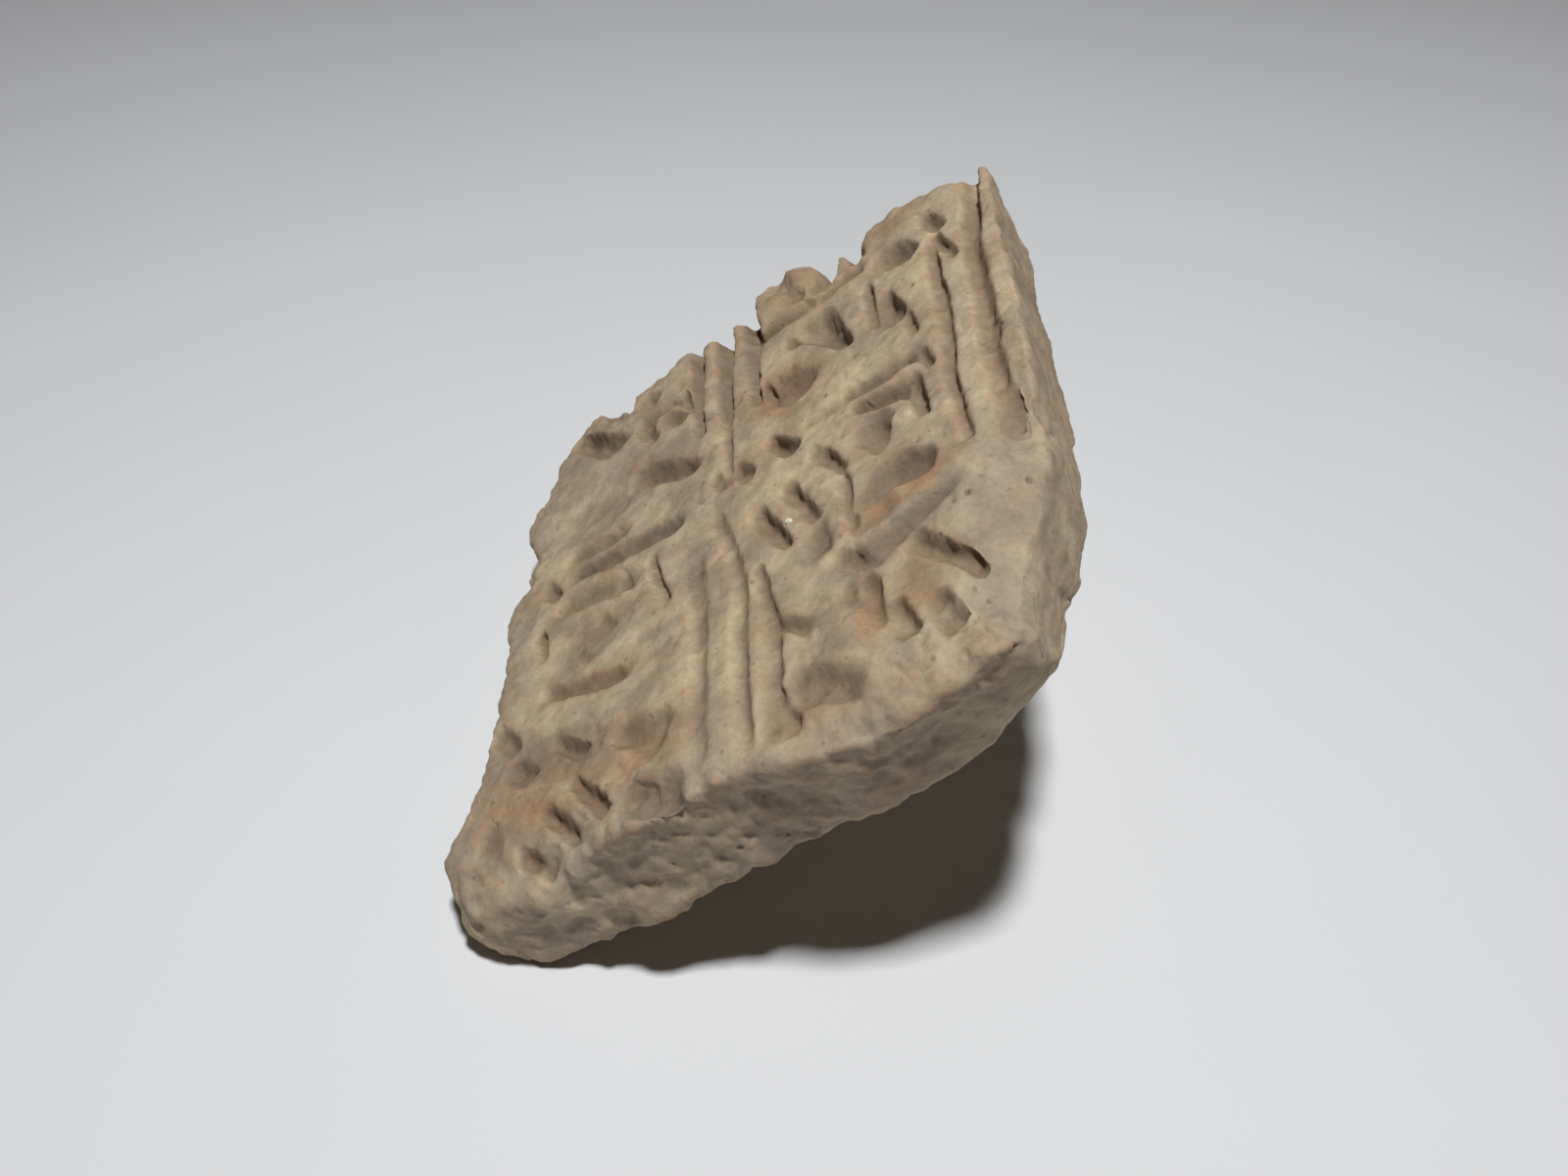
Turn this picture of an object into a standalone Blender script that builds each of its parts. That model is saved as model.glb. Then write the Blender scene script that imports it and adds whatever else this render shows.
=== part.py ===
"""A fired clay stamp seal, lying as it comes to rest: tipped over its grip onto one long edge.

The stamp is one solid: a thick plate with a carved face and a pinched grip on its back. It is modelled with
the face level, in the plate's own frame (X across, Y along, Z out of the face, zero on the face), and the
finished solid is then tipped into its resting pose. Lengths are metres. A place on the face is given in
hundredths of the plate's width and length, from the middle of the face.
"""

import math

import bmesh
import bpy
import numpy as np
from mathutils import Matrix, Vector, noise

MM = 0.001

# The plate
PLATE_WIDTH = 61.0 * MM
PLATE_LENGTH = 70.0 * MM
PLATE_THICKNESS = 11.5 * MM
WALL_LEAN = 1.5 * MM  # how far in the far and the right side lean towards the back
RIM_ROUND = 0.9 * MM
FOOT_ROUND = 1.4 * MM
# Plan corners: the near right one is worn away most
FAR_RIGHT_ROUND = 3.0 * MM
NEAR_RIGHT_ROUND = 10.0 * MM
NEAR_LEFT_ROUND = 2.6 * MM
FAR_LEFT_ROUND = 5.0 * MM
RIGHT_CORNER_DROP = 3.6 * MM
CORNER_REACH = 17.0 * MM
# Places along the near side, in hundredths, and how far its foot lies in from its rim there, in mm
NEAR_FOOT = ((-50, 0), (-23, -0.5), (-6, 0.1), (10, 1.3), (23, 2.6), (50, 4.0))
# The same for the left side, which leans out at its near end
LEFT_FOOT = ((-50, -3.5), (-42, -1.5), (-34, 1.5), (50, 1.5))
# The foot under the near right corner is worn away to a slanting plane
BEVEL_WAY = (0.453, -0.544, -0.706)  # straight out of that plane
BEVEL_REACH = 32.5 * MM  # how far it lies from the middle of the face
BEVEL_KEPT = 0.1  # how much of what stood out beyond it is left
# Under the near left corner it is worn to nearly the plane it lies on
LEFT_BEVEL_WAY = (-0.590, -0.100, -0.801)
LEFT_BEVEL_REACH = 29.75 * MM
# The left end of the near edge is worn down too
EDGE_DROP = 3.5 * MM
EDGE_REACH = 7.5 * MM  # how far in from the edge
EDGE_START = 11.0 * MM  # how far left of the middle it starts
EDGE_RUN = 12.0 * MM  # over what length it reaches its full depth
# The right half of the near edge is worn round
NEAR_DROP = 2.4 * MM
NEAR_REACH = 5.0 * MM
NEAR_START = 1.0 * MM  # how far right of the middle it starts
NEAR_RUN = 14.0 * MM
# The near half of the right edge is worn down
SIDE_DROP = 3.0 * MM
SIDE_REACH = 5.5 * MM
SIDE_START = 1.0 * MM  # how far near of the middle it starts
SIDE_RUN = 14.0 * MM
BULGE_AT_BACK = 0.6  # how much of a rim's bulge, and of its wear, is still there at the back
WEAR_AT_BACK = 0.95
# The chipped outline: places along a side, and how far its rim stands out there, all in hundredths
LEFT_LINE = (
    (-50, 3.8),
    (-41, 4.6),
    (-32, 0.2),
    (-14, 1),
    (2, 4.8),
    (13, 0.8),
    (24, 5.8),
    (38, 0.4),
    (50, -3),
)
RIGHT_LINE = (
    (-50, -8),
    (-45, -9.5),
    (-40, -10.6),
    (-34, -9),
    (-28, -6),
    (-18, -3.4),
    (0, -2.2),
    (20, -2.2),
    (50, -2.4),
)
NEAR_LINE = ((-50, -1.2), (-36, -0.9), (-20, -0.6), (-4, -1), (16, 1), (30, -1), (50, -2))
FAR_LINE = (
    (-50, -2),
    (-42, -1),
    (-33, -2),
    (-24, -1),
    (-20, 1),
    (-12, -1),
    (-5, 0),
    (-2, 3),
    (9, 3),
    (13, -1.5),
    (17, 0),
    (20, -1.5),
    (24, 2),
    (36, 1),
    (42, -1),
    (46, 0.5),
)

# The grip on the back
GRIP_LENGTH = 21.25 * MM
GRIP_ROOT = 15.0 * MM  # radius where it flares into the back
GRIP_END = 7.6 * MM  # radius just before its rounded end
GRIP_PINCH = 0.16  # how much longer than wide its section is
GRIP_SPREAD = 22.0 * MM  # radius of the back that is drawn into the grip

# The carving
CUT_DEPTH = 2.4 * MM
# The shape of a stroke's section: how flat its floor is, and how softly its rims are worn
RIM_POWER = 2.2
RIM_EASE = 1.3
BLOCK_RISE = 1.1 * MM

# The clay's hand-made unevenness
LUMP_SIZE = 13.0 * MM
LUMP_HEIGHT = 0.4 * MM
EDGE_LUMP_SIZE = 5.0 * MM
EDGE_LUMP_HEIGHT = 0.7 * MM

WORN_FLAT = 0.35 * MM  # how much of the clay is rubbed off where it rests
CELL = 0.4 * MM
TRIANGLES = 8600

CLAY_COLOUR = (0.40, 0.29, 0.19, 1.0)


def stroke(start, end, wide, narrow, deep, lean=0.0, fade=1.0):
    """A knife stroke: its ends, its half widths there in mm, and its first depth as a share of CUT_DEPTH.

    A positive lean makes it deeper on its left, seen from its start. It fades to a share of that depth.
    """
    return start, end, wide * MM, narrow * MM, deep * CUT_DEPTH, lean, fade


def upright_strokes():
    """The troughs beside and between the two upright ridges. They are worn below the crossing."""
    return [
        stroke((-17, 52), (-13.2, 22), 1.4, 0.8, 1.1, 0.6, 0.4),
        stroke((-10.6, 52), (-7, 18), 1.7, 0.95, 1, 0.8, 0.4),
        stroke((-7, 18), (-4.8, 4), 0.95, 0.7, 0.3, 0.6, 0.6),
        stroke((-4.6, 54), (-3.1, 41), 1.5, 1.5, 1.05, 0.8, 0.7),
        stroke((-3.1, 41), (-1.2, 22), 1.5, 0.8, 0.72, 0.7, 0.6),
        stroke((-7, -2), (-1.8, -17), 1, 1, 0.24, 0.5),
        stroke((-1.8, -17), (0.8, -46), 1.2, 1.2, 0.28, 0.5),
        stroke((1.6, -17), (4.8, -29), 0.9, 1.2, 0.3, 0.5),
        stroke((4.8, -29), (5.4, -47), 1.25, 1.5, 0.42, 0.4),
        stroke((-11.4, -9), (-8, -27), 1.6, 1.1, 0.26),
        stroke((-8, -27), (-6.6, -46), 1.1, 1.5, 0.22),
    ]


def crossbar_strokes():
    """The troughs that leave a pair of thin level ridges on each side of the uprights."""
    return [
        stroke((-39.5, 9.4), (-27.4, 9), 1.45, 1.2, 0.5),
        stroke((-38, 4.6), (-15.4, 2.9), 1.5, 1.5, 0.62, 0.2),
        stroke((-44.4, 4.8), (-42, 2.4), 1.35, 1.1, 0.5),
        stroke((-38.6, -1.8), (-23, -3.6), 1.8, 1.6, 0.5),
        stroke((-20.8, -2.5), (-16.4, -13), 0.85, 0.75, 0.42, 0.4),
        stroke((18.2, 8.8), (31, 9.2), 1.2, 1.35, 0.6),
        stroke((11, 7.8), (18.2, 8.4), 1.1, 1.2, 0.3),
        stroke((31.4, 9), (32.8, 5), 0.8, 0.8, 0.42),
        stroke((19.6, 4.9), (28.6, 3.5), 0.8, 1.95, 0.72),
        stroke((29.2, 3.2), (31.2, -5), 1.5, 0.75, 0.6, 0.3, 0.6),
    ]


def crossing_strokes():
    """The small pits and the two slanting strokes where the ridges cross."""
    return [
        stroke((-3.4, 6.6), (-1.2, 3.9), 1.1, 1.25, 0.5),
        stroke((3.2, 8.2), (7.4, 4.1), 0.95, 1.45, 0.72),
        stroke((-8.2, 7.8), (-6.2, 5), 1.1, 1.1, 0.3),
        stroke((11.6, 0.4), (15, -4.4), 1.1, 0.9, 0.3),
        stroke((0.8, -6.2), (7, -15.8), 1.3, 0.9, 0.55, 0.2),
        stroke((6.2, -4.4), (11.6, -13.6), 1.25, 0.9, 0.5, 0.2),
        stroke((11.6, -16.2), (12.8, -20.6), 1.6, 1.5, 0.34),
    ]


def border_strokes():
    """The two long troughs that set off the smooth band and the edge ridge at the right."""
    return [
        stroke((34.8, 36), (35.8, 16), 0.85, 1.1, 0.46, 0.3),
        stroke((35.8, 16), (35.8, 0), 1.05, 1, 0.4, 0.3),
        stroke((35.8, 0), (37.4, -15), 0.9, 0.7, 0.42, 0.4, 0.8),
        stroke((44, 52), (42.6, 30), 1.3, 1.4, 0.85, -0.1, 0.65),
        stroke((42.6, 30), (42.4, 0), 1.4, 1.3, 0.5, -0.2, 0.85),
        stroke((42.4, 0), (43.4, -16), 1.3, 1, 0.42, 0.1, 0.8),
    ]


def upper_left_strokes():
    """The bent frame and the pits of the upper left panel."""
    return [
        stroke((-44.6, 43), (-34, 33.8), 1.6, 2.4, 0.85, 0.1),
        stroke((-35, 52), (-34, 42), 1.8, 1.3, 1.3, 0, 0.7),
        stroke((-38.5, 52), (-37, 46), 1.9, 2.6, 0.55),
        stroke((-29.4, 43.2), (-26.6, 41.8), 1.6, 1.5, 0.6),
        stroke((-27.4, 35.8), (-18.4, 36.8), 1.6, 1.2, 0.6),
        stroke((-18.4, 36.8), (-14.6, 30), 1.1, 0.7, 0.5, 0.3, 0.6),
        stroke((-27.4, 34.6), (-24.6, 28.6), 1.6, 1.5, 0.5),
        stroke((-21, 32), (-18, 30.8), 1.8, 1.7, 0.65),
        stroke((-25.4, 19.8), (-13.2, 15.2), 2.5, 1.3, 0.85, 0, 0.8),
        stroke((-38, 20), (-31, 17), 3.6, 4, 0.25),
    ]


def upper_right_strokes():
    """The bent frame, the block and the row of upright pits of the upper right panel."""
    return [
        stroke((-1, 39.9), (12, 40.7), 1.45, 1.35, 0.8),
        stroke((12, 40.7), (20.5, 41.8), 1.35, 1.6, 0.7),
        stroke((13.8, 52), (12.8, 43.5), 2, 1.7, 0.85, 0, 0.8),
        stroke((3, 50.2), (5.4, 48.4), 2, 1.8, 0.45),
        stroke((5.4, 45.6), (7.8, 44.8), 1.5, 1.4, 0.4),
        stroke((3.4, 21.8), (8.6, 18.8), 3.4, 3.1, 0.75),
        stroke((1, 24.8), (2.8, 18.6), 0.95, 0.95, 0.8, 0.4, 0.9),
        stroke((11.4, 33), (18.2, 21.8), 2.9, 0.9, 0.85, 0.2, 0.8),
        stroke((22, 34), (23.4, 22.4), 0.8, 0.9, 0.42, 0.4),
        stroke((25.2, 27.6), (26.6, 22), 1.5, 2.2, 0.66, 0.3),
        stroke((26.6, 38.8), (30.2, 36.6), 2.6, 1.9, 0.8),
        stroke((34.6, 42.4), (37, 38.6), 1.2, 1.1, 0.46),
        stroke((35.4, 37), (39.6, 28.6), 0.85, 0.85, 0.46, 0.2, 0.8),
        stroke((29.4, 20.2), (30.8, 14), 0.9, 0.8, 0.42, 0.2, 0.9),
        stroke((6.4, 32.6), (7.8, 31), 1.15, 1.1, 0.5),
        stroke((19.6, 52), (20.2, 45), 1.2, 1.2, 0.7),
    ]


def lower_left_strokes():
    """The short marks, the long pits and the three slanting strokes of the lower left panel."""
    return [
        stroke((-44, -5.6), (-41.8, -11.6), 0.95, 1.1, 0.42, 0.3),
        stroke((-29.6, -8.6), (-27, -11.4), 1.2, 1.2, 0.36),
        stroke((-33.6, -13.4), (-31, -16), 1.2, 1.2, 0.36),
        stroke((-38.4, -19.4), (-22, -23.2), 1.1, 1.3, 0.42),
        stroke((-47.4, -23.4), (-43.6, -27.4), 1.4, 1.05, 0.5),
        stroke((-42.6, -31), (-39.6, -32.8), 1.7, 1.7, 0.6),
        stroke((-34.8, -29.4), (-28.4, -33.6), 1.3, 1.45, 0.64),
        stroke((-21, -34.2), (-14.8, -36.8), 1.9, 2.7, 0.62),
        stroke((-17.8, -45.4), (-11, -46.8), 2.1, 2.3, 0.6),
        stroke((-45.4, -40.7), (-44.3, -44.2), 1.6, 1.6, 0.3),
        stroke((-29.6, -38), (-22.4, -45.8), 0.95, 1.15, 0.55, 0.2),
        stroke((-34.2, -41.2), (-28.8, -46.4), 0.95, 1.2, 0.55, 0.2),
        stroke((-39.4, -44.6), (-34.6, -47.6), 0.9, 1.1, 0.48, 0.2),
        stroke((-33, -12), (-27, -11), 4.8, 3.8, 0.22),
        stroke((-38, -30), (-24, -36), 4.2, 4.8, 0.25),
    ]


def lower_right_strokes():
    """The arched pits, the long torn trough and the fan of strokes of the lower right panel."""
    return [
        stroke((22, -1.6), (23, -6.4), 2.8, 1.1, 0.72, 0, 0.9),
        stroke((12.6, -0.6), (16.6, -6.6), 1.15, 0.9, 0.45, 0.2),
        stroke((16.2, -7.6), (18, -19.5), 0.8, 0.8, 0.32, 0.3),
        stroke((20.6, -14.8), (25, -12.8), 1.8, 2.5, 0.76),
        stroke((25, -12.8), (30.6, -14.6), 2.5, 1.9, 0.76, 0, 0.9),
        stroke((15.6, -23.6), (21, -25.8), 1.2, 1.6, 0.52),
        stroke((21, -25.8), (25.4, -23.6), 1.6, 1.9, 0.58),
        stroke((25.4, -23.6), (34.6, -20.8), 1.8, 1.1, 0.5, 0, 0.6),
        stroke((19.4, -19.4), (24, -18.6), 1.7, 2, 0.25),
        stroke((28, -27.2), (35.6, -35.8), 1.5, 0.7, 0.56, 0.2, 0.8),
        stroke((20, -30), (21.8, -38.2), 1.3, 1.1, 0.5, 0.3),
        stroke((24, -35.6), (25.8, -41.2), 1.3, 1.45, 0.6, 0.2),
        stroke((29.6, -38), (31.4, -42), 1.6, 1.6, 0.56),
        stroke((17, -29.5), (18.4, -32.5), 1.5, 1.3, 0.32),
        stroke((26, -34), (26.4, -38), 4.4, 4.4, 0.2),
        stroke((5.8, -29.6), (11.2, -32.8), 1.05, 1.15, 0.4),
        stroke((5.8, -40.6), (8.2, -46.2), 1.3, 1.5, 0.56, 0.2),
        stroke((9.6, -41.6), (18, -44.4), 2.3, 2.1, 0.6),
    ]


def face_rises():
    """Places where the clay stands above the face: a stroke's depth below zero raises it."""
    rise = -BLOCK_RISE / CUT_DEPTH
    return [
        stroke((3.6, 49.5), (3.6, 49), 5.9, 5.9, rise),
        stroke((33, 50), (34, 47), 4.6, 4.6, 0.6 * rise),
    ]


def trough(x, y, start, end, wide, narrow, deep, lean, fade):
    """How far one stroke lowers the clay at each point."""
    ax, bx = (place[0] * PLATE_WIDTH / 100 for place in (start, end))
    ay, by = (place[1] * PLATE_LENGTH / 100 for place in (start, end))
    length = math.hypot(bx - ax, by - ay)
    along = np.clip(((x - ax) * (bx - ax) + (y - ay) * (by - ay)) / length**2, 0, 1)
    away = np.hypot(x - ax - along * (bx - ax), y - ay - along * (by - ay))
    across = ((y - ay) * (bx - ax) - (x - ax) * (by - ay)) / length
    half = wide + (narrow - wide) * along
    floor = (1 - np.clip(away / half, 0, 1) ** RIM_POWER) ** RIM_EASE
    return deep * (1 + (fade - 1) * along) * floor * (1 + lean * np.clip(across / half, -1, 1))


def carved_depth(x, y):
    """How far the whole carving lowers the face at each point."""
    panels = (
        upright_strokes,
        crossbar_strokes,
        crossing_strokes,
        border_strokes,
        upper_left_strokes,
        upper_right_strokes,
        lower_left_strokes,
        lower_right_strokes,
    )
    depth = np.zeros_like(x)
    for panel in panels:
        for one in panel():
            depth = np.maximum(depth, trough(x, y, *one))
    for one in face_rises():
        depth = depth + trough(x, y, *one)
    return depth


def smoothstep(values):
    """Eases values from 0 to 1, and holds them there outside."""
    held = np.clip(values, 0, 1)
    return held * held * (3 - 2 * held)


def worn_down(x, y):
    """How far the near right corner, the near edge and the right edge are rubbed down."""
    away = np.hypot(x - PLATE_WIDTH / 2, y + PLATE_LENGTH / 2)
    corner = RIGHT_CORNER_DROP * np.clip(1 - away / CORNER_REACH, 0, 1) ** 1.5
    leftwards = smoothstep((-EDGE_START - x) / EDGE_RUN)
    inwards = np.clip(1 - (y + PLATE_LENGTH / 2) / EDGE_REACH, 0, 1) ** 1.5
    rim = PLATE_WIDTH * (0.5 + stand_out(y / PLATE_LENGTH * 100, RIGHT_LINE) / 100)
    side = np.clip(1 - (rim - x) / SIDE_REACH, 0, 1) ** 1.5 * smoothstep((-SIDE_START - y) / SIDE_RUN)
    near = np.clip(1 - (y + PLATE_LENGTH / 2) / NEAR_REACH, 0, 1) ** 1.5
    near = near * smoothstep((x - NEAR_START) / NEAR_RUN)
    worn = np.maximum.reduce([corner, SIDE_DROP * side, NEAR_DROP * near])
    return worn + EDGE_DROP * leftwards * inwards


def round_edges(points):
    """Rounds the rim of the face and the foot of the walls, on a plain box."""
    half = np.array([PLATE_WIDTH, PLATE_LENGTH]) / 2
    out = np.maximum((np.abs(points[:, :2]) / half).max(1), 1e-9)
    radius = np.where(points[:, 2] > 0, RIM_ROUND, FOOT_ROUND)
    inset = (1 - out) * half[0]
    level = PLATE_THICKNESS / 2 - radius
    beyond = np.stack([radius - inset, np.abs(points[:, 2]) - level], 1)
    here = (beyond > 0).all(1)
    squeezed = beyond[here] * (beyond[here].max(1) / np.linalg.norm(beyond[here], axis=1))[:, None]
    moved = points.copy()
    inset[here] = radius[here] - squeezed[:, 0]
    moved[:, :2] *= ((1 - inset / half[0]) / out)[:, None]
    moved[here, 2] = np.sign(points[here, 2]) * (level[here] + squeezed[:, 1])
    return moved


def round_corners(points):
    """Rounds the plate's four corners in plan."""
    corners = {
        (1, 1): FAR_RIGHT_ROUND,
        (1, -1): NEAR_RIGHT_ROUND,
        (-1, -1): NEAR_LEFT_ROUND,
        (-1, 1): FAR_LEFT_ROUND,
    }
    half = np.array([PLATE_WIDTH, PLATE_LENGTH]) / 2
    moved = points.copy()
    for side, radius in corners.items():
        beyond = points[:, :2] * side - (half - radius)
        here = (beyond > 0).all(1)
        squeezed = beyond[here] * (beyond[here].max(1) / np.linalg.norm(beyond[here], axis=1))[:, None]
        moved[here, :2] = (half - radius + squeezed) * side
    return moved


def stand_out(places, line):
    """How far a side stands out at some places along it, all in hundredths, run smoothly through its line."""
    at, out = np.array(line, dtype=float).T
    one = np.clip(np.searchsorted(at, places) - 1, 0, len(at) - 2)
    return out[one] + (out[one + 1] - out[one]) * smoothstep((places - at[one]) / (at[one + 1] - at[one]))


def shape_plan(points):
    """Gives the sides their chipped lines, most of all at the face, and leans the walls."""
    x, y, z = points.T
    height = z / PLATE_THICKNESS + 0.5
    across, along = x / PLATE_WIDTH * 100, y / PLATE_LENGTH * 100
    near_lean = stand_out(across, NEAR_FOOT) * MM
    left_lean = stand_out(along, LEFT_FOOT) * MM
    sideways = np.where(x > 0, stand_out(along, RIGHT_LINE), stand_out(along, LEFT_LINE)) / 100
    endways = np.where(y > 0, stand_out(across, FAR_LINE), stand_out(across, NEAR_LINE)) / 100
    moved = points.copy()
    sides = (
        (sideways, np.where(x > 0, WALL_LEAN, left_lean), across, PLATE_WIDTH),
        (endways, np.where(y > 0, WALL_LEAN, near_lean), along, PLATE_LENGTH),
    )
    for axis, (out, lean, where, size) in enumerate(sides):
        at_back = np.where(out > 0, BULGE_AT_BACK, WEAR_AT_BACK)
        shift = out * size * (at_back + (1 - at_back) * height) - lean * (1 - height)
        power = np.clip(0.4 * size / np.maximum(np.abs(shift), MM), 1.5, 9)  # low enough that nothing folds
        moved[:, axis] += shift * np.sign(where) * (np.abs(where) / 50) ** power
    return moved


def carve(points):
    """Cuts the face. A wall under a cut is shortened with it, so that nothing folds."""
    x, y, z = points.T
    lowered = carved_depth(x, y) + worn_down(x, y)
    height = (z + PLATE_THICKNESS / 2) / PLATE_THICKNESS
    moved = points.copy()
    moved[:, 2] = z - lowered * height - PLATE_THICKNESS / 2
    return moved


def bevel_foot(points):
    """Wears the foot away under the two near corners."""
    for way, reach in ((BEVEL_WAY, BEVEL_REACH), (LEFT_BEVEL_WAY, LEFT_BEVEL_REACH)):
        beyond = np.clip(points @ np.array(way) - reach, 0, None)
        points = points - (1 - BEVEL_KEPT) * beyond[:, None] * np.array(way)
    return points


def grip_profile():
    """Radius and depth below the back, from the middle of the grip's end out to the flat of the back."""
    share = np.linspace(1, 0, 160)
    shank = GRIP_END + (GRIP_ROOT - GRIP_END) * (1 - share) ** 3.2
    dome = 1 - GRIP_END / GRIP_LENGTH
    ending = np.sqrt(np.clip(1 - (np.clip(share - dome, 0, 1) / (1 - dome)) ** 2, 0, 1))
    radius = np.append(shank * ending, GRIP_SPREAD)
    depth = np.append(GRIP_LENGTH * share, 0)
    return radius, depth


def draw_out_grip(points):
    """Draws the middle of the back out into the grip, spacing its points evenly along the profile."""
    radius, depth = grip_profile()
    run = np.append(0, np.cumsum(np.hypot(np.diff(radius), np.diff(depth))))
    away = np.hypot(points[:, 0], points[:, 1])
    on_back = (points[:, 2] < -PLATE_THICKNESS + 1e-6) & (away < GRIP_SPREAD)
    reached = away[on_back] / GRIP_SPREAD * run[-1]
    drop = np.interp(reached, run, depth)
    pinch = 1 + GRIP_PINCH * drop / GRIP_LENGTH
    scale = np.interp(reached, run, radius) / np.maximum(away[on_back], 1e-9)
    moved = points.copy()
    moved[on_back, 0] *= scale / np.sqrt(pinch)
    moved[on_back, 1] *= scale * np.sqrt(pinch)
    moved[on_back, 2] -= drop
    return moved


def noise_shift(points, size):
    """A slow, smooth shift for each point, in shares of its greatest."""
    starts = (Vector((3.1, 0, 0)), Vector((0, 17.3, 0)), Vector((0, 0, 31.7)))
    return np.array([[noise.noise(Vector(p) / size + start) for start in starts] for p in points])


def make_lumpy(points):
    """Moves each point a little, as on hand-pressed clay, and the walls rather more."""
    lumpy = points + LUMP_HEIGHT * noise_shift(points, LUMP_SIZE)
    half = np.array([PLATE_WIDTH, PLATE_LENGTH]) / 2
    wall = np.clip((np.abs(points[:, :2]) / half).max(1), 0, 1) ** 20
    wall = np.where(points[:, 2] < -1.2 * PLATE_THICKNESS, 0, wall)
    lumpy[:, :2] += (EDGE_LUMP_HEIGHT * wall)[:, None] * noise_shift(points, EDGE_LUMP_SIZE)[:, :2]
    return lumpy


def subdivided_box(size, cell):
    """A closed box, from a cube, whose faces are grids of about the given cell."""
    mesh = bmesh.new()
    bmesh.ops.create_cube(mesh, size=1.0)
    for axis, length in enumerate(size):
        edges = [e for e in mesh.edges if abs((e.verts[0].co - e.verts[1].co)[axis]) > 0.5]
        cuts = max(1, round(length / cell[axis]) - 1)
        bmesh.ops.subdivide_edges(mesh, edges=edges, cuts=cuts, use_grid_fill=True)
    for vertex in mesh.verts:
        vertex.co = Vector(a * b for a, b in zip(vertex.co, size))
    return mesh


def lowest(points, tilt):
    """The height of the lowest of some points once tipped by the tilt."""
    return (points[:, 0] * math.sin(tilt) + points[:, 2] * math.cos(tilt)).min()


def resting_tilt(points):
    """The angle at which the plate's left edge and the grip's end are level."""
    grip = points[points[:, 2] < -PLATE_THICKNESS - GRIP_LENGTH / 3]
    edge = points[points[:, 0] < -PLATE_WIDTH / 3]
    low, high = 0.0, math.pi / 2
    while high - low > 1e-6:
        middle = (low + high) / 2
        if lowest(edge, middle) > lowest(grip, middle):
            low = middle
        else:
            high = middle
    return low


def rub_flat(mesh, height):
    """Cuts the clay off level below a height, leaving the flats that it rests on."""
    parts = mesh.verts[:] + mesh.edges[:] + mesh.faces[:]
    cut = bmesh.ops.bisect_plane(
        mesh, geom=parts, plane_co=(0, 0, height), plane_no=(0, 0, 1), clear_inner=True, dist=1e-7
    )
    rims = [e for e in cut["geom_cut"] if isinstance(e, bmesh.types.BMEdge)]
    bmesh.ops.holes_fill(mesh, edges=rims, sides=0)


def decimated(obj, triangles):
    """A copy of the object's mesh, simplified to about the given number of triangles."""
    modifier = obj.modifiers.new("Simplify", "DECIMATE")
    modifier.ratio = triangles / (2 * len(obj.data.polygons))
    modifier.use_collapse_triangulate = True
    graph = bpy.context.evaluated_depsgraph_get()
    mesh = bpy.data.meshes.new_from_object(obj.evaluated_get(graph))
    obj.modifiers.clear()
    return mesh


def clay_material():
    """Plain fired clay."""
    material = bpy.data.materials.new("fired_clay")
    material.use_nodes = True
    shader = material.node_tree.nodes["Principled BSDF"]
    shader.inputs["Base Color"].default_value = CLAY_COLOUR
    shader.inputs["Roughness"].default_value = 0.9
    return material


def make_seal(collection):
    """The whole stamp, as one object, resting on its left edge and on the end of its grip."""
    size = (PLATE_WIDTH, PLATE_LENGTH, PLATE_THICKNESS)
    box = subdivided_box(size, (CELL, CELL, 2.5 * CELL))
    mesh = bpy.data.meshes.new("seal")
    box.to_mesh(mesh)
    box.free()
    points = np.array([v.co for v in mesh.vertices], dtype=float)
    for step in (round_edges, round_corners, shape_plan, carve, bevel_foot, draw_out_grip, make_lumpy):
        points = step(points)
    tilt = resting_tilt(points)
    tipped = Matrix.Rotation(-tilt, 4, "Y")
    mesh.vertices.foreach_set("co", points.ravel())
    mesh.transform(tipped)

    seal = bpy.data.objects.new("seal", mesh)
    collection.objects.link(seal)
    seal.data = decimated(seal, TRIANGLES)
    seal.data.name = "seal"
    bpy.data.meshes.remove(mesh)

    finished = bmesh.new()
    finished.from_mesh(seal.data)
    floor = min(v.co.z for v in finished.verts) + WORN_FLAT
    rub_flat(finished, floor)
    spans = [(min(v.co[n] for v in finished.verts), max(v.co[n] for v in finished.verts)) for n in range(2)]
    middle = [(low + high) / 2 for low, high in spans]
    bmesh.ops.translate(finished, verts=finished.verts, vec=(-middle[0], -middle[1], -floor))
    bmesh.ops.recalc_face_normals(finished, faces=finished.faces)
    finished.to_mesh(seal.data)
    finished.free()
    seal.data.shade_smooth()
    seal.data.materials.append(clay_material())
    return seal


def main():
    for obj in list(bpy.data.objects):
        bpy.data.objects.remove(obj)
    collection = bpy.data.collections.new("clay_seal")
    bpy.context.scene.collection.children.link(collection)
    make_seal(collection)


main()
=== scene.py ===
"""The looks of a fired clay stamp seal that lies tipped over its grip, onto one long edge.

The stamp is one lump of fired clay: a thick plate with a carved face, and a pinched grip on its back. It is
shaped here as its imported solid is, but on a finer grid, in the plate's own frame: X across, Y along, Z out of
the face, zero on the face. Then it gets the marks of the hand, the knife and wear, and is tipped into its
resting pose. Lengths are metres, unless a comment says millimetres. A place on the face is given in
hundredths of the plate's width and length, from the middle of the face.
"""

import logging
import math
from dataclasses import dataclass, field
from enum import Enum, IntEnum
from itertools import product

import bmesh
import bpy
import numpy as np
from mathutils import Matrix, Vector, kdtree, noise

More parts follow.
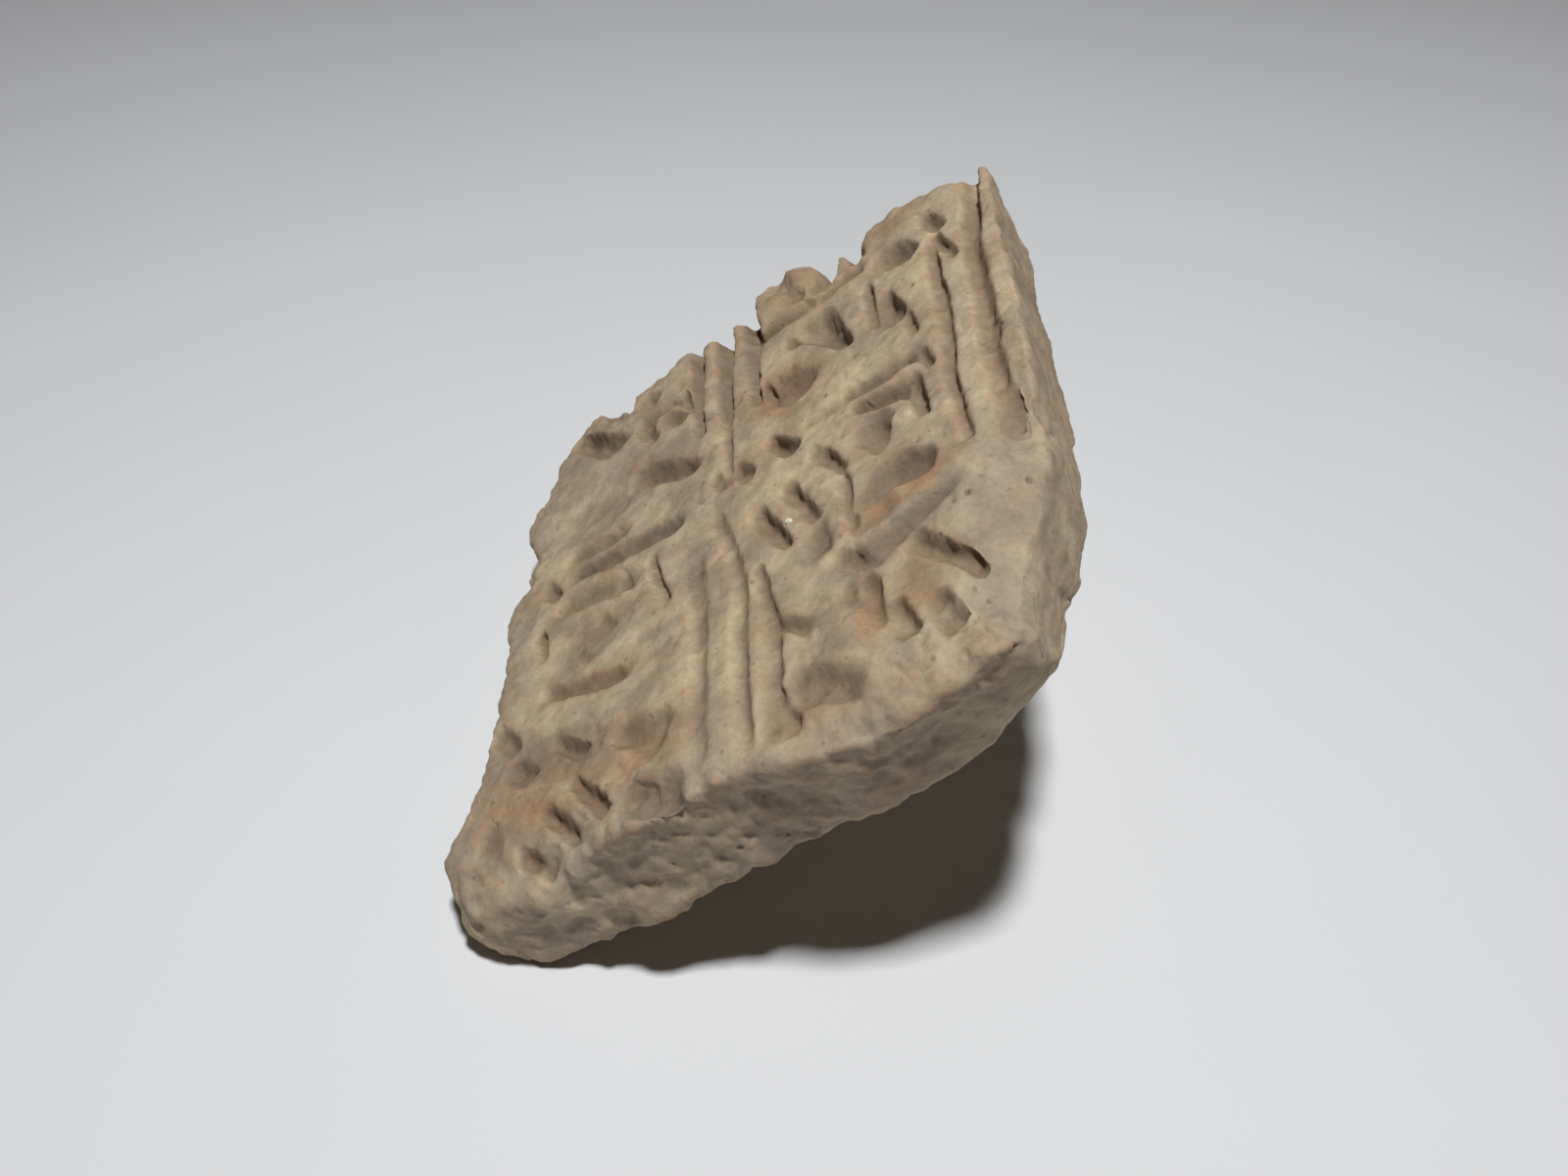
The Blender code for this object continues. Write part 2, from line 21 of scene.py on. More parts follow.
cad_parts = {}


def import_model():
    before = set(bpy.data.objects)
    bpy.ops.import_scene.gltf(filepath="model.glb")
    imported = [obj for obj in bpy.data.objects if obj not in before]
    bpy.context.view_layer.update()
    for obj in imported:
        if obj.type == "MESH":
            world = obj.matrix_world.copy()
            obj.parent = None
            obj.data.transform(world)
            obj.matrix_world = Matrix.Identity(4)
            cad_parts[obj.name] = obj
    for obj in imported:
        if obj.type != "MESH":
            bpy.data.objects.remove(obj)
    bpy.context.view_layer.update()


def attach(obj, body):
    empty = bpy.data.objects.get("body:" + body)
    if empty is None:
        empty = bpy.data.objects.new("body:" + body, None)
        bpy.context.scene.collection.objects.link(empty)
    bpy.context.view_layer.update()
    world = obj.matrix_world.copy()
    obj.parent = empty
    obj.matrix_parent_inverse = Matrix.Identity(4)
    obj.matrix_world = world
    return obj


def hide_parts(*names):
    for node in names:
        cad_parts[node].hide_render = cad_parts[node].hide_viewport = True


MM = 0.001
FRAME_NODE = "seal"
BODY = "root"
CLAY_SLOT = "fired_clay"
LOG = logging.getLogger("clay_seal")

Colour = tuple[float, float, float]
Place = tuple[float, float, float]
Span = tuple[float, float]
Line = tuple[Span, ...]

# Whole numbers that scramble a place and a seed, the bits kept of them, and what brings the noise to about 1
SCRAMBLE = (374761393, 668265263, 974634777)
SCRAMBLE_SEED = 1274126177
WORD = 0xFFFFFFFF
TEN_BITS = 1023
DRIFT_GAIN = 1.5


class Seed(IntEnum):
    """Which noise each effect reads. An effect with several sizes also reads the seeds after its own."""

    STREAK = 5
    WAVER_ACROSS = 11
    WAVER_ALONG = 12
    GRIT = 31
    SCAR = 38
    FINE_SCAR = 39
    SCAR_PATCH = 40
    RIM = 41
    # The ragged edge of the painted shade, with some soil, in the floors of the cuts
    SHADE_AND_SOIL = 45
    WALL = 49
    TONE = 52
    BLUSH = 57
    TINT = 60


def drift(places: np.ndarray, seed: int) -> np.ndarray:
    """Smooth noise that wanders about zero.

    Args:
        places: Where to read it, one row of three numbers each, with one bump to a unit.
        seed: Which noise to read.

    Returns:
        One value for each place, nearly always between -1 and 1.
    """
    cell = np.floor(places).astype(np.int64)
    within = places - cell
    ease = within**3 * (within * (within * 6 - 15) + 10)
    total = np.zeros(len(places))
    for corner in product((0, 1), repeat=3):
        at = cell + corner
        mixed = ((at * SCRAMBLE).sum(1) + seed * SCRAMBLE_SEED) & WORD
        mixed = ((mixed ^ (mixed >> 13)) * SCRAMBLE_SEED) & WORD
        mixed = mixed ^ (mixed >> 16)
        parts = np.stack([mixed & TEN_BITS, (mixed >> 10) & TEN_BITS, (mixed >> 20) & TEN_BITS], 1)
        slope = parts / (TEN_BITS / 2) - 1
        share = np.where(corner, ease, 1 - ease).prod(1)
        total += share * (slope * (within - corner)).sum(1)
    return total * DRIFT_GAIN


def smoothstep(values: np.ndarray) -> np.ndarray:
    """Eases values from 0 to 1, and holds them there outside."""
    held = np.clip(values, 0, 1)
    return held * held * (3 - 2 * held)


class Mark(Enum):
    """What the mesh keeps of each point for its material. The value is the name of the mesh's attribute."""

    TONE = "tone"
    BLUSH = "blush"
    WALL = "wall"
    RIM = "rim"
    # Painted shade, with some soil, in the cuts, hollows and pores
    SHADE_AND_SOIL = "shade_and_soil"


class Tint(Enum):
    """What the clay's colour turns to in some patches. The value is the name of the mesh's attribute."""

    ORANGE = "orange"
    GREY = "grey"
    PALE = "pale"


@dataclass(frozen=True)
class Cut:
    """One tapering knife stroke: its ends in hundredths, its half widths in mm, and its depth as a share.

    A positive lean makes it deeper on its left, seen from its start. It fades to a share of its depth, and
    runs out at its end.
    """

    x_start: float
    y_start: float
    x_end: float
    y_end: float
    wide: float
    narrow: float
    deep: float
    lean: float = 0.0
    fade: float = 1.0


@dataclass(frozen=True)
class Patch:
    """A soft oval patch of another colour.

    Its middle and its half sizes are in hundredths, and its turn is in degrees.
    """

    tint: Tint
    x: float
    y: float
    along: float
    across: float
    turn: float
    strength: float


UPRIGHT_CUTS = (
    Cut(-17, 52, -13.2, 22, 1.4, 0.8, 1.1, 0.6, 0.4),
    Cut(-10.6, 52, -7, 18, 1.7, 0.95, 1, 0.8, 0.4),
    Cut(-7, 18, -4.8, 4, 0.95, 0.7, 0.3, 0.6, 0.6),
    Cut(-4.6, 54, -3.1, 41, 1.5, 1.5, 1.05, 0.8, 0.7),
    Cut(-3.1, 41, -1.2, 22, 1.5, 0.8, 0.72, 0.7, 0.6),
    Cut(-7, -2, -1.8, -17, 1, 1, 0.24, 0.5),
    Cut(-1.8, -17, 0.8, -46, 1.2, 1.2, 0.28, 0.5),
    Cut(1.6, -17, 4.8, -29, 0.9, 1.2, 0.3, 0.5),
    Cut(4.8, -29, 5.4, -47, 1.25, 1.5, 0.42, 0.4),
    Cut(-11.4, -9, -8, -27, 1.6, 1.1, 0.26),
    Cut(-8, -27, -6.6, -46, 1.1, 1.5, 0.22),
)

CROSSBAR_CUTS = (
    Cut(-39.5, 9.4, -27.4, 9, 1.45, 1.2, 0.5),
    Cut(-38, 4.6, -15.4, 2.9, 1.5, 1.5, 0.62, 0.2),
    Cut(-44.4, 4.8, -42, 2.4, 1.35, 1.1, 0.5),
    Cut(-38.6, -1.8, -23, -3.6, 1.8, 1.6, 0.5),
    Cut(-20.8, -2.5, -16.4, -13, 0.85, 0.75, 0.42, 0.4),
    Cut(18.2, 8.8, 31, 9.2, 1.2, 1.35, 0.6),
    Cut(11, 7.8, 18.2, 8.4, 1.1, 1.2, 0.3),
    Cut(31.4, 9, 32.8, 5, 0.8, 0.8, 0.42),
    Cut(19.6, 4.9, 28.6, 3.5, 0.8, 1.95, 0.72),
    Cut(29.2, 3.2, 31.2, -5, 1.5, 0.75, 0.6, 0.3, 0.6),
)

CROSSING_CUTS = (
    Cut(-3.4, 6.6, -1.2, 3.9, 1.1, 1.25, 0.5),
    Cut(3.2, 8.2, 7.4, 4.1, 0.95, 1.45, 0.72),
    Cut(-8.2, 7.8, -6.2, 5, 1.1, 1.1, 0.3),
    Cut(11.6, 0.4, 15, -4.4, 1.1, 0.9, 0.3),
    Cut(0.8, -6.2, 7, -15.8, 1.3, 0.9, 0.55, 0.2),
    Cut(6.2, -4.4, 11.6, -13.6, 1.25, 0.9, 0.5, 0.2),
    Cut(11.6, -16.2, 12.8, -20.6, 1.6, 1.5, 0.34),
)

BORDER_CUTS = (
    Cut(34.8, 36, 35.8, 16, 0.85, 1.1, 0.46, 0.3),
    Cut(35.8, 16, 35.8, 0, 1.05, 1, 0.4, 0.3),
    Cut(35.8, 0, 37.4, -15, 0.9, 0.7, 0.42, 0.4, 0.8),
    Cut(44, 52, 42.6, 30, 1.3, 1.4, 0.85, -0.1, 0.65),
    Cut(42.6, 30, 42.4, 0, 1.4, 1.3, 0.5, -0.2, 0.85),
    Cut(42.4, 0, 43.4, -16, 1.3, 1, 0.42, 0.1, 0.8),
)

UPPER_LEFT_CUTS = (
    Cut(-44.6, 43, -34, 33.8, 1.6, 2.4, 0.85, 0.1),
    Cut(-35, 52, -34, 42, 1.8, 1.3, 1.3, 0, 0.7),
    Cut(-38.5, 52, -37, 46, 1.9, 2.6, 0.55),
    Cut(-29.4, 43.2, -26.6, 41.8, 1.6, 1.5, 0.6),
    Cut(-27.4, 35.8, -18.4, 36.8, 1.6, 1.2, 0.6),
    Cut(-18.4, 36.8, -14.6, 30, 1.1, 0.7, 0.5, 0.3, 0.6),
    Cut(-27.4, 34.6, -24.6, 28.6, 1.6, 1.5, 0.5),
    Cut(-21, 32, -18, 30.8, 1.8, 1.7, 0.65),
    Cut(-25.4, 19.8, -13.2, 15.2, 2.5, 1.3, 0.85, 0, 0.8),
    Cut(-38, 20, -31, 17, 3.6, 4, 0.25),
)

UPPER_RIGHT_CUTS = (
    Cut(-1, 39.9, 12, 40.7, 1.45, 1.35, 0.8),
    Cut(12, 40.7, 20.5, 41.8, 1.35, 1.6, 0.7),
    Cut(13.8, 52, 12.8, 43.5, 2, 1.7, 0.85, 0, 0.8),
    Cut(3, 50.2, 5.4, 48.4, 2, 1.8, 0.45),
    Cut(5.4, 45.6, 7.8, 44.8, 1.5, 1.4, 0.4),
    Cut(3.4, 21.8, 8.6, 18.8, 3.4, 3.1, 0.75),
    Cut(1, 24.8, 2.8, 18.6, 0.95, 0.95, 0.8, 0.4, 0.9),
    Cut(11.4, 33, 18.2, 21.8, 2.9, 0.9, 0.85, 0.2, 0.8),
    Cut(22, 34, 23.4, 22.4, 0.8, 0.9, 0.42, 0.4),
    Cut(25.2, 27.6, 26.6, 22, 1.5, 2.2, 0.66, 0.3),
    Cut(26.6, 38.8, 30.2, 36.6, 2.6, 1.9, 0.8),
    Cut(34.6, 42.4, 37, 38.6, 1.2, 1.1, 0.46),
    Cut(35.4, 37, 39.6, 28.6, 0.85, 0.85, 0.46, 0.2, 0.8),
    Cut(29.4, 20.2, 30.8, 14, 0.9, 0.8, 0.42, 0.2, 0.9),
    Cut(6.4, 32.6, 7.8, 31, 1.15, 1.1, 0.5),
    Cut(19.6, 52, 20.2, 45, 1.2, 1.2, 0.7),
)

LOWER_LEFT_CUTS = (
    Cut(-44, -5.6, -41.8, -11.6, 0.95, 1.1, 0.42, 0.3),
    Cut(-29.6, -8.6, -27, -11.4, 1.2, 1.2, 0.36),
    Cut(-33.6, -13.4, -31, -16, 1.2, 1.2, 0.36),
    Cut(-38.4, -19.4, -22, -23.2, 1.1, 1.3, 0.42),
    Cut(-47.4, -23.4, -43.6, -27.4, 1.4, 1.05, 0.5),
    Cut(-42.6, -31, -39.6, -32.8, 1.7, 1.7, 0.6),
    Cut(-34.8, -29.4, -28.4, -33.6, 1.3, 1.45, 0.64),
    Cut(-21, -34.2, -14.8, -36.8, 1.9, 2.7, 0.62),
    Cut(-17.8, -45.4, -11, -46.8, 2.1, 2.3, 0.6),
    Cut(-45.4, -40.7, -44.3, -44.2, 1.6, 1.6, 0.3),
    Cut(-29.6, -38, -22.4, -45.8, 0.95, 1.15, 0.55, 0.2),
    Cut(-34.2, -41.2, -28.8, -46.4, 0.95, 1.2, 0.55, 0.2),
    Cut(-39.4, -44.6, -34.6, -47.6, 0.9, 1.1, 0.48, 0.2),
    Cut(-33, -12, -27, -11, 4.8, 3.8, 0.22),
    Cut(-38, -30, -24, -36, 4.2, 4.8, 0.25),
)

LOWER_RIGHT_CUTS = (
    Cut(22, -1.6, 23, -6.4, 2.8, 1.1, 0.72, 0, 0.9),
    Cut(12.6, -0.6, 16.6, -6.6, 1.15, 0.9, 0.45, 0.2),
    Cut(16.2, -7.6, 18, -19.5, 0.8, 0.8, 0.32, 0.3),
    Cut(20.6, -14.8, 25, -12.8, 1.8, 2.5, 0.76),
    Cut(25, -12.8, 30.6, -14.6, 2.5, 1.9, 0.76, 0, 0.9),
    Cut(15.6, -23.6, 21, -25.8, 1.2, 1.6, 0.52),
    Cut(21, -25.8, 25.4, -23.6, 1.6, 1.9, 0.58),
    Cut(25.4, -23.6, 34.6, -20.8, 1.8, 1.1, 0.5, 0, 0.6),
    Cut(19.4, -19.4, 24, -18.6, 1.7, 2, 0.25),
    Cut(28, -27.2, 35.6, -35.8, 1.5, 0.7, 0.56, 0.2, 0.8),
    Cut(20, -30, 21.8, -38.2, 1.3, 1.1, 0.5, 0.3),
    Cut(24, -35.6, 25.8, -41.2, 1.3, 1.45, 0.6, 0.2),
    Cut(29.6, -38, 31.4, -42, 1.6, 1.6, 0.56),
    Cut(17, -29.5, 18.4, -32.5, 1.5, 1.3, 0.32),
    Cut(26, -34, 26.4, -38, 4.4, 4.4, 0.2),
    Cut(5.8, -29.6, 11.2, -32.8, 1.05, 1.15, 0.4),
    Cut(5.8, -40.6, 8.2, -46.2, 1.3, 1.5, 0.56, 0.2),
    Cut(9.6, -41.6, 18, -44.4, 2.3, 2.1, 0.6),
)

# Clay that stands above the face
RISES = (
    Cut(3.6, 49.5, 3.6, 49, 5.9, 5.9, -0.4583),
    Cut(33, 50, 34, 47, 4.6, 4.6, -0.275),
)

PATCHES = (
    Patch(Tint.ORANGE, 6, 20.5, 8, 6, -20, 1.0),
    Patch(Tint.ORANGE, 27, -17.5, 8, 2.6, 12, 1.1),
    Patch(Tint.ORANGE, 20.5, -33, 2, 6, 0, 0.9),
    Patch(Tint.ORANGE, 28, -34, 3, 4.5, -20, 0.7),
    Patch(Tint.ORANGE, 20, -48, 18, 3, 5, 0.3),
    Patch(Tint.ORANGE, -34, -37, 15, 6, -10, 0.8),
    Patch(Tint.ORANGE, -16, -38, 6, 4, -10, 0.8),
    Patch(Tint.ORANGE, -28, -22, 10, 1.8, -10, 0.8),
    Patch(Tint.ORANGE, -28, -10, 7, 4, 0, 0.35),
    Patch(Tint.ORANGE, 4, 48, 8, 5, 0, 0.45),
    Patch(Tint.ORANGE, 27, 49, 7, 5, -20, 0.7),
    Patch(Tint.ORANGE, 14, 40, 10, 2.5, 5, 0.5),
    Patch(Tint.ORANGE, 43, 8, 1.6, 22, 0, 0.5),
    Patch(Tint.ORANGE, -21, 32, 7, 4, 0, 0.45),
    Patch(Tint.ORANGE, 0, 6, 6, 4, 0, 0.35),
    Patch(Tint.ORANGE, 10, -44, 7, 4, 0, 0.55),
    Patch(Tint.GREY, 26, -23.5, 11, 3, 14, 1.1),
    Patch(Tint.GREY, 12.5, -19, 3, 3, 0, 0.8),
    Patch(Tint.GREY, 26, -12.5, 6, 2.4, 0, 0.8),
    Patch(Tint.GREY, -11, -8.5, 3.5, 4, 0, 0.6),
    Patch(Tint.GREY, 42, -32, 8, 17, 0, 0.55),
    Patch(Tint.GREY, -27, 24, 11, 12, -20, 0.5),
    Patch(Tint.GREY, -38, 38, 9, 6, -30, 0.6),
    Patch(Tint.GREY, -14.6, 38, 1.6, 14, 8, 0.8),
    Patch(Tint.GREY, -8.6, 36, 1.8, 16, 7, 0.9),
    Patch(Tint.GREY, -3.2, 40, 1.8, 12, 4, 0.8),
    Patch(Tint.GREY, 20, 26, 9, 8, 0, 0.35),
    Patch(Tint.GREY, 33, 2, 3, 9, 0, 0.5),
    Patch(Tint.GREY, 24, 2, 5, 5, 0, 0.7),
    Patch(Tint.GREY, -24, 4, 12, 2.2, -4, 0.9),
    Patch(Tint.GREY, -42, -30, 7, 3, -20, 0.7),
    Patch(Tint.GREY, -15, -45.5, 6, 3, 0, 0.8),
    Patch(Tint.GREY, -32, -32, 6, 1.8, -30, 0.8),
    Patch(Tint.GREY, 6, 5.5, 3, 2.4, -40, 0.7),
    Patch(Tint.GREY, 28, 38, 4, 4, 0, 0.7),
    Patch(Tint.GREY, 15, 29, 2.5, 6, -25, 0.7),
    Patch(Tint.PALE, 39.5, 14, 2.6, 32, 0, 0.8),
    Patch(Tint.PALE, -40, 26, 7, 9, 0, 0.5),
    Patch(Tint.PALE, -28, -51, 10, 4, -20, 0.9),
    Patch(Tint.PALE, 21, -44, 5, 2.5, 0, 0.7),
    Patch(Tint.PALE, 3, -30, 4, 14, 0, 0.4),
    Patch(Tint.PALE, -1, -44, 8, 5, 0, 0.9),
    Patch(Tint.PALE, 24, -47, 15, 3, 4, 0.7),
)


@dataclass
class Plate:
    """The thick plate: a box with rounded edges, worn corners and chipped sides."""

    width: float = 61.0 * MM
    length: float = 70.0 * MM
    thickness: float = 11.5 * MM
    wall_lean: float = 1.5 * MM
    rim_round: float = 0.9 * MM
    foot_round: float = 1.4 * MM
    corner_rounds: tuple[float, ...] = (3.0 * MM, 10.0 * MM, 2.6 * MM, 5.0 * MM)
    corner_drop: float = 3.6 * MM
    corner_reach: float = 17.0 * MM
    edge_drop: float = 3.5 * MM
    edge_reach: float = 7.5 * MM
    edge_start: float = 11.0 * MM
    edge_run: float = 12.0 * MM
    side_drop: float = 3.0 * MM
    side_reach: float = 5.5 * MM
    side_start: float = 1.0 * MM
    side_run: float = 14.0 * MM
    near_drop: float = 2.4 * MM
    near_reach: float = 5.0 * MM
    near_start: float = 1.0 * MM
    near_run: float = 14.0 * MM
    wear_power: float = 1.5
    bulge_at_back: float = 0.6
    wear_at_back: float = 0.95
    inward_reach: float = 0.4
    inward_powers: Span = (1.5, 9.0)
    left_line: Line = (
        ((-50, 3.8), (-41, 4.6), (-32, 0.2), (-14, 1), (2, 4.8), (13, 0.8), (24, 5.8), (38, 0.4))
        + ((50, -3),)
    )
    right_line: Line = (
        ((-50, -8), (-45, -9.5), (-40, -10.6), (-34, -9), (-28, -6), (-18, -3.4), (0, -2.2), (20, -2.2))
        + ((50, -2.4),)
    )
    near_line: Line = ((-50, -1.2), (-36, -0.9), (-20, -0.6), (-4, -1), (16, 1), (30, -1), (50, -2))
    far_line: Line = (
        ((-50, -2), (-42, -1), (-33, -2), (-24, -1), (-20, 1), (-12, -1), (-5, 0), (-2, 3))
        + ((9, 3), (13, -1.5), (17, 0), (20, -1.5), (24, 2), (36, 1), (42, -1), (46, 0.5))
    )
    near_foot: Line = ((-50, 0), (-23, -0.5), (-6, 0.1), (10, 1.3), (23, 2.6), (50, 4.0))
    left_foot: Line = ((-50, -3.5), (-42, -1.5), (-34, 1.5), (50, 1.5))
    bevel_way: Place = (0.453, -0.544, -0.706)
    bevel_reach: float = 32.5 * MM
    bevel_kept: float = 0.1
    left_bevel_way: Place = (-0.590, -0.100, -0.801)
    left_bevel_reach: float = 29.75 * MM
    cells: tuple[int, int, int] = (9, 10, 1)

    @property
    def half(self) -> np.ndarray:
        """Half the plate's width and length."""
        return np.array([self.width, self.length]) / 2

    def blank(self, level: int) -> bpy.types.Mesh:
        """A closed box of square cells.

        Args:
            level: How many times each of the plate's own cells is halved.

        Returns:
            The box, centred on the origin.
        """
        box = bmesh.new()
        bmesh.ops.create_cube(box, size=1.0)
        for axis, count in enumerate(self.cells):
            edges = [e for e in box.edges if abs((e.verts[0].co - e.verts[1].co)[axis]) > 0.5]
            if count > 1:
                bmesh.ops.subdivide_edges(box, edges=edges, cuts=count - 1, use_grid_fill=True)
        bmesh.ops.scale(box, vec=(self.width, self.length, self.thickness), verts=box.verts)
        coarse = bpy.data.meshes.new("blank")
        box.to_mesh(coarse)
        box.free()
        holder = bpy.data.objects.new("blank", coarse)
        bpy.context.scene.collection.objects.link(holder)
        halving = holder.modifiers.new("Cells", "SUBSURF")
        halving.subdivision_type = "SIMPLE"
        halving.levels = level
        fine = bpy.data.meshes.new_from_object(holder.evaluated_get(bpy.context.evaluated_depsgraph_get()))
        bpy.data.objects.remove(holder)
        bpy.data.meshes.remove(coarse)
        return fine

    def squeeze(self, beyond: np.ndarray) -> np.ndarray:
        """Brings places in the square beyond a corner's centre onto the circle round it."""
        return beyond * (beyond.max(1) / np.linalg.norm(beyond, axis=1))[:, None]

    def round_edges(self, points: np.ndarray) -> np.ndarray:
        """Rounds the rim of the face and the foot of the walls.

        Args:
            points: The points of a plain box.

        Returns:
            The moved points.
        """
        half = self.half
        out = np.maximum((np.abs(points[:, :2]) / half).max(1), 1e-9)
        radius = np.where(points[:, 2] > 0, self.rim_round, self.foot_round)
        inset = (1 - out) * half[0]
        level = self.thickness / 2 - radius
        beyond = np.stack([radius - inset, np.abs(points[:, 2]) - level], 1)
        here = (beyond > 0).all(1)
        squeezed = self.squeeze(beyond[here])
        moved = points.copy()
        inset[here] = radius[here] - squeezed[:, 0]
        moved[:, :2] *= ((1 - inset / half[0]) / out)[:, None]
        moved[here, 2] = np.sign(points[here, 2]) * (level[here] + squeezed[:, 1])
        return moved

    def round_corners(self, points: np.ndarray) -> np.ndarray:
        """Rounds the four corners in plan, the near right one most.

        Args:
            points: The points of the box.

        Returns:
            The moved points.
        """
        moved = points.copy()
        for side, radius in zip(((1, 1), (1, -1), (-1, -1), (-1, 1)), self.corner_rounds):
            beyond = points[:, :2] * side - (self.half - radius)
            here = (beyond > 0).all(1)
            moved[here, :2] = (self.half - radius + self.squeeze(beyond[here])) * side
        return moved

    @staticmethod
    def stand_out(places: np.ndarray, line: Line) -> np.ndarray:
        """How far a side stands out.

        Args:
            places: Places along the side, in hundredths.
            line: The side's own places, and how far it stands out at each, in hundredths.

        Returns:
            How far it stands out at each of the places, in hundredths.
        """
        at, out = np.array(line, dtype=float).T
        one = np.clip(np.searchsorted(at, places) - 1, 0, len(at) - 2)
        share = (places - at[one]) / (at[one + 1] - at[one])
        return out[one] + (out[one + 1] - out[one]) * smoothstep(share)

    def shape_plan(self, points: np.ndarray) -> np.ndarray:
        """Gives the sides their chipped lines, and leans the walls in towards the back.

        Args:
            points: The points of the rounded box.

        Returns:
            The moved points.
        """
        x, y, z = points.T
        height = z / self.thickness + 0.5
        across, along = x / self.width * 100, y / self.length * 100
        near_lean = self.stand_out(across, self.near_foot) * MM
        left_lean = self.stand_out(along, self.left_foot) * MM
        right, left = self.stand_out(along, self.right_line), self.stand_out(along, self.left_line)
        far, near = self.stand_out(across, self.far_line), self.stand_out(across, self.near_line)
        sides = (
            (np.where(x > 0, right, left), np.where(x > 0, self.wall_lean, left_lean), across, self.width),
            (np.where(y > 0, far, near), np.where(y > 0, self.wall_lean, near_lean), along, self.length),
        )
        moved = points.copy()
        for axis, (out, lean, where, size) in enumerate(sides):
            at_back = np.where(out > 0, self.bulge_at_back, self.wear_at_back)
            shift = out / 100 * size * (at_back + (1 - at_back) * height) - lean * (1 - height)
            power = np.clip(self.inward_reach * size / np.maximum(np.abs(shift), MM), *self.inward_powers)
            moved[:, axis] += shift * np.sign(where) * (np.abs(where) / 50) ** power
        return moved

    def bevel_foot(self, points: np.ndarray) -> np.ndarray:
        """Wears the foot away under the two near corners.

        Args:
            points: The points of the carved plate.

        Returns:
            The moved points.
        """
        bevels = ((self.bevel_way, self.bevel_reach), (self.left_bevel_way, self.left_bevel_reach))
        for way, reach in bevels:
            beyond = np.clip(points @ np.array(way) - reach, 0, None)
            points = points - (1 - self.bevel_kept) * beyond[:, None] * np.array(way)
        return points

    def worn_down(self, x: np.ndarray, y: np.ndarray) -> np.ndarray:
        """How far the near right corner and the edges by the near corners are rubbed down.

        Args:
            x: Places across the plate.
            y: Places along it.

        Returns:
            The drop at each place.
        """
        from_edge = y + self.length / 2
        away = np.hypot(x - self.width / 2, from_edge)
        corner = self.corner_drop * np.clip(1 - away / self.corner_reach, 0, 1) ** self.wear_power
        leftwards = smoothstep((-self.edge_start - x) / self.edge_run)
        inwards = np.clip(1 - from_edge / self.edge_reach, 0, 1) ** self.wear_power
        rim = self.width * (0.5 + self.stand_out(y / self.length * 100, self.right_line) / 100)
        side = np.clip(1 - (rim - x) / self.side_reach, 0, 1) ** self.wear_power
        side = self.side_drop * side * smoothstep((-self.side_start - y) / self.side_run)
        near = np.clip(1 - from_edge / self.near_reach, 0, 1) ** self.wear_power
        near = self.near_drop * near * smoothstep((x - self.near_start) / self.near_run)
        return np.maximum.reduce([corner, side, near]) + self.edge_drop * leftwards * inwards


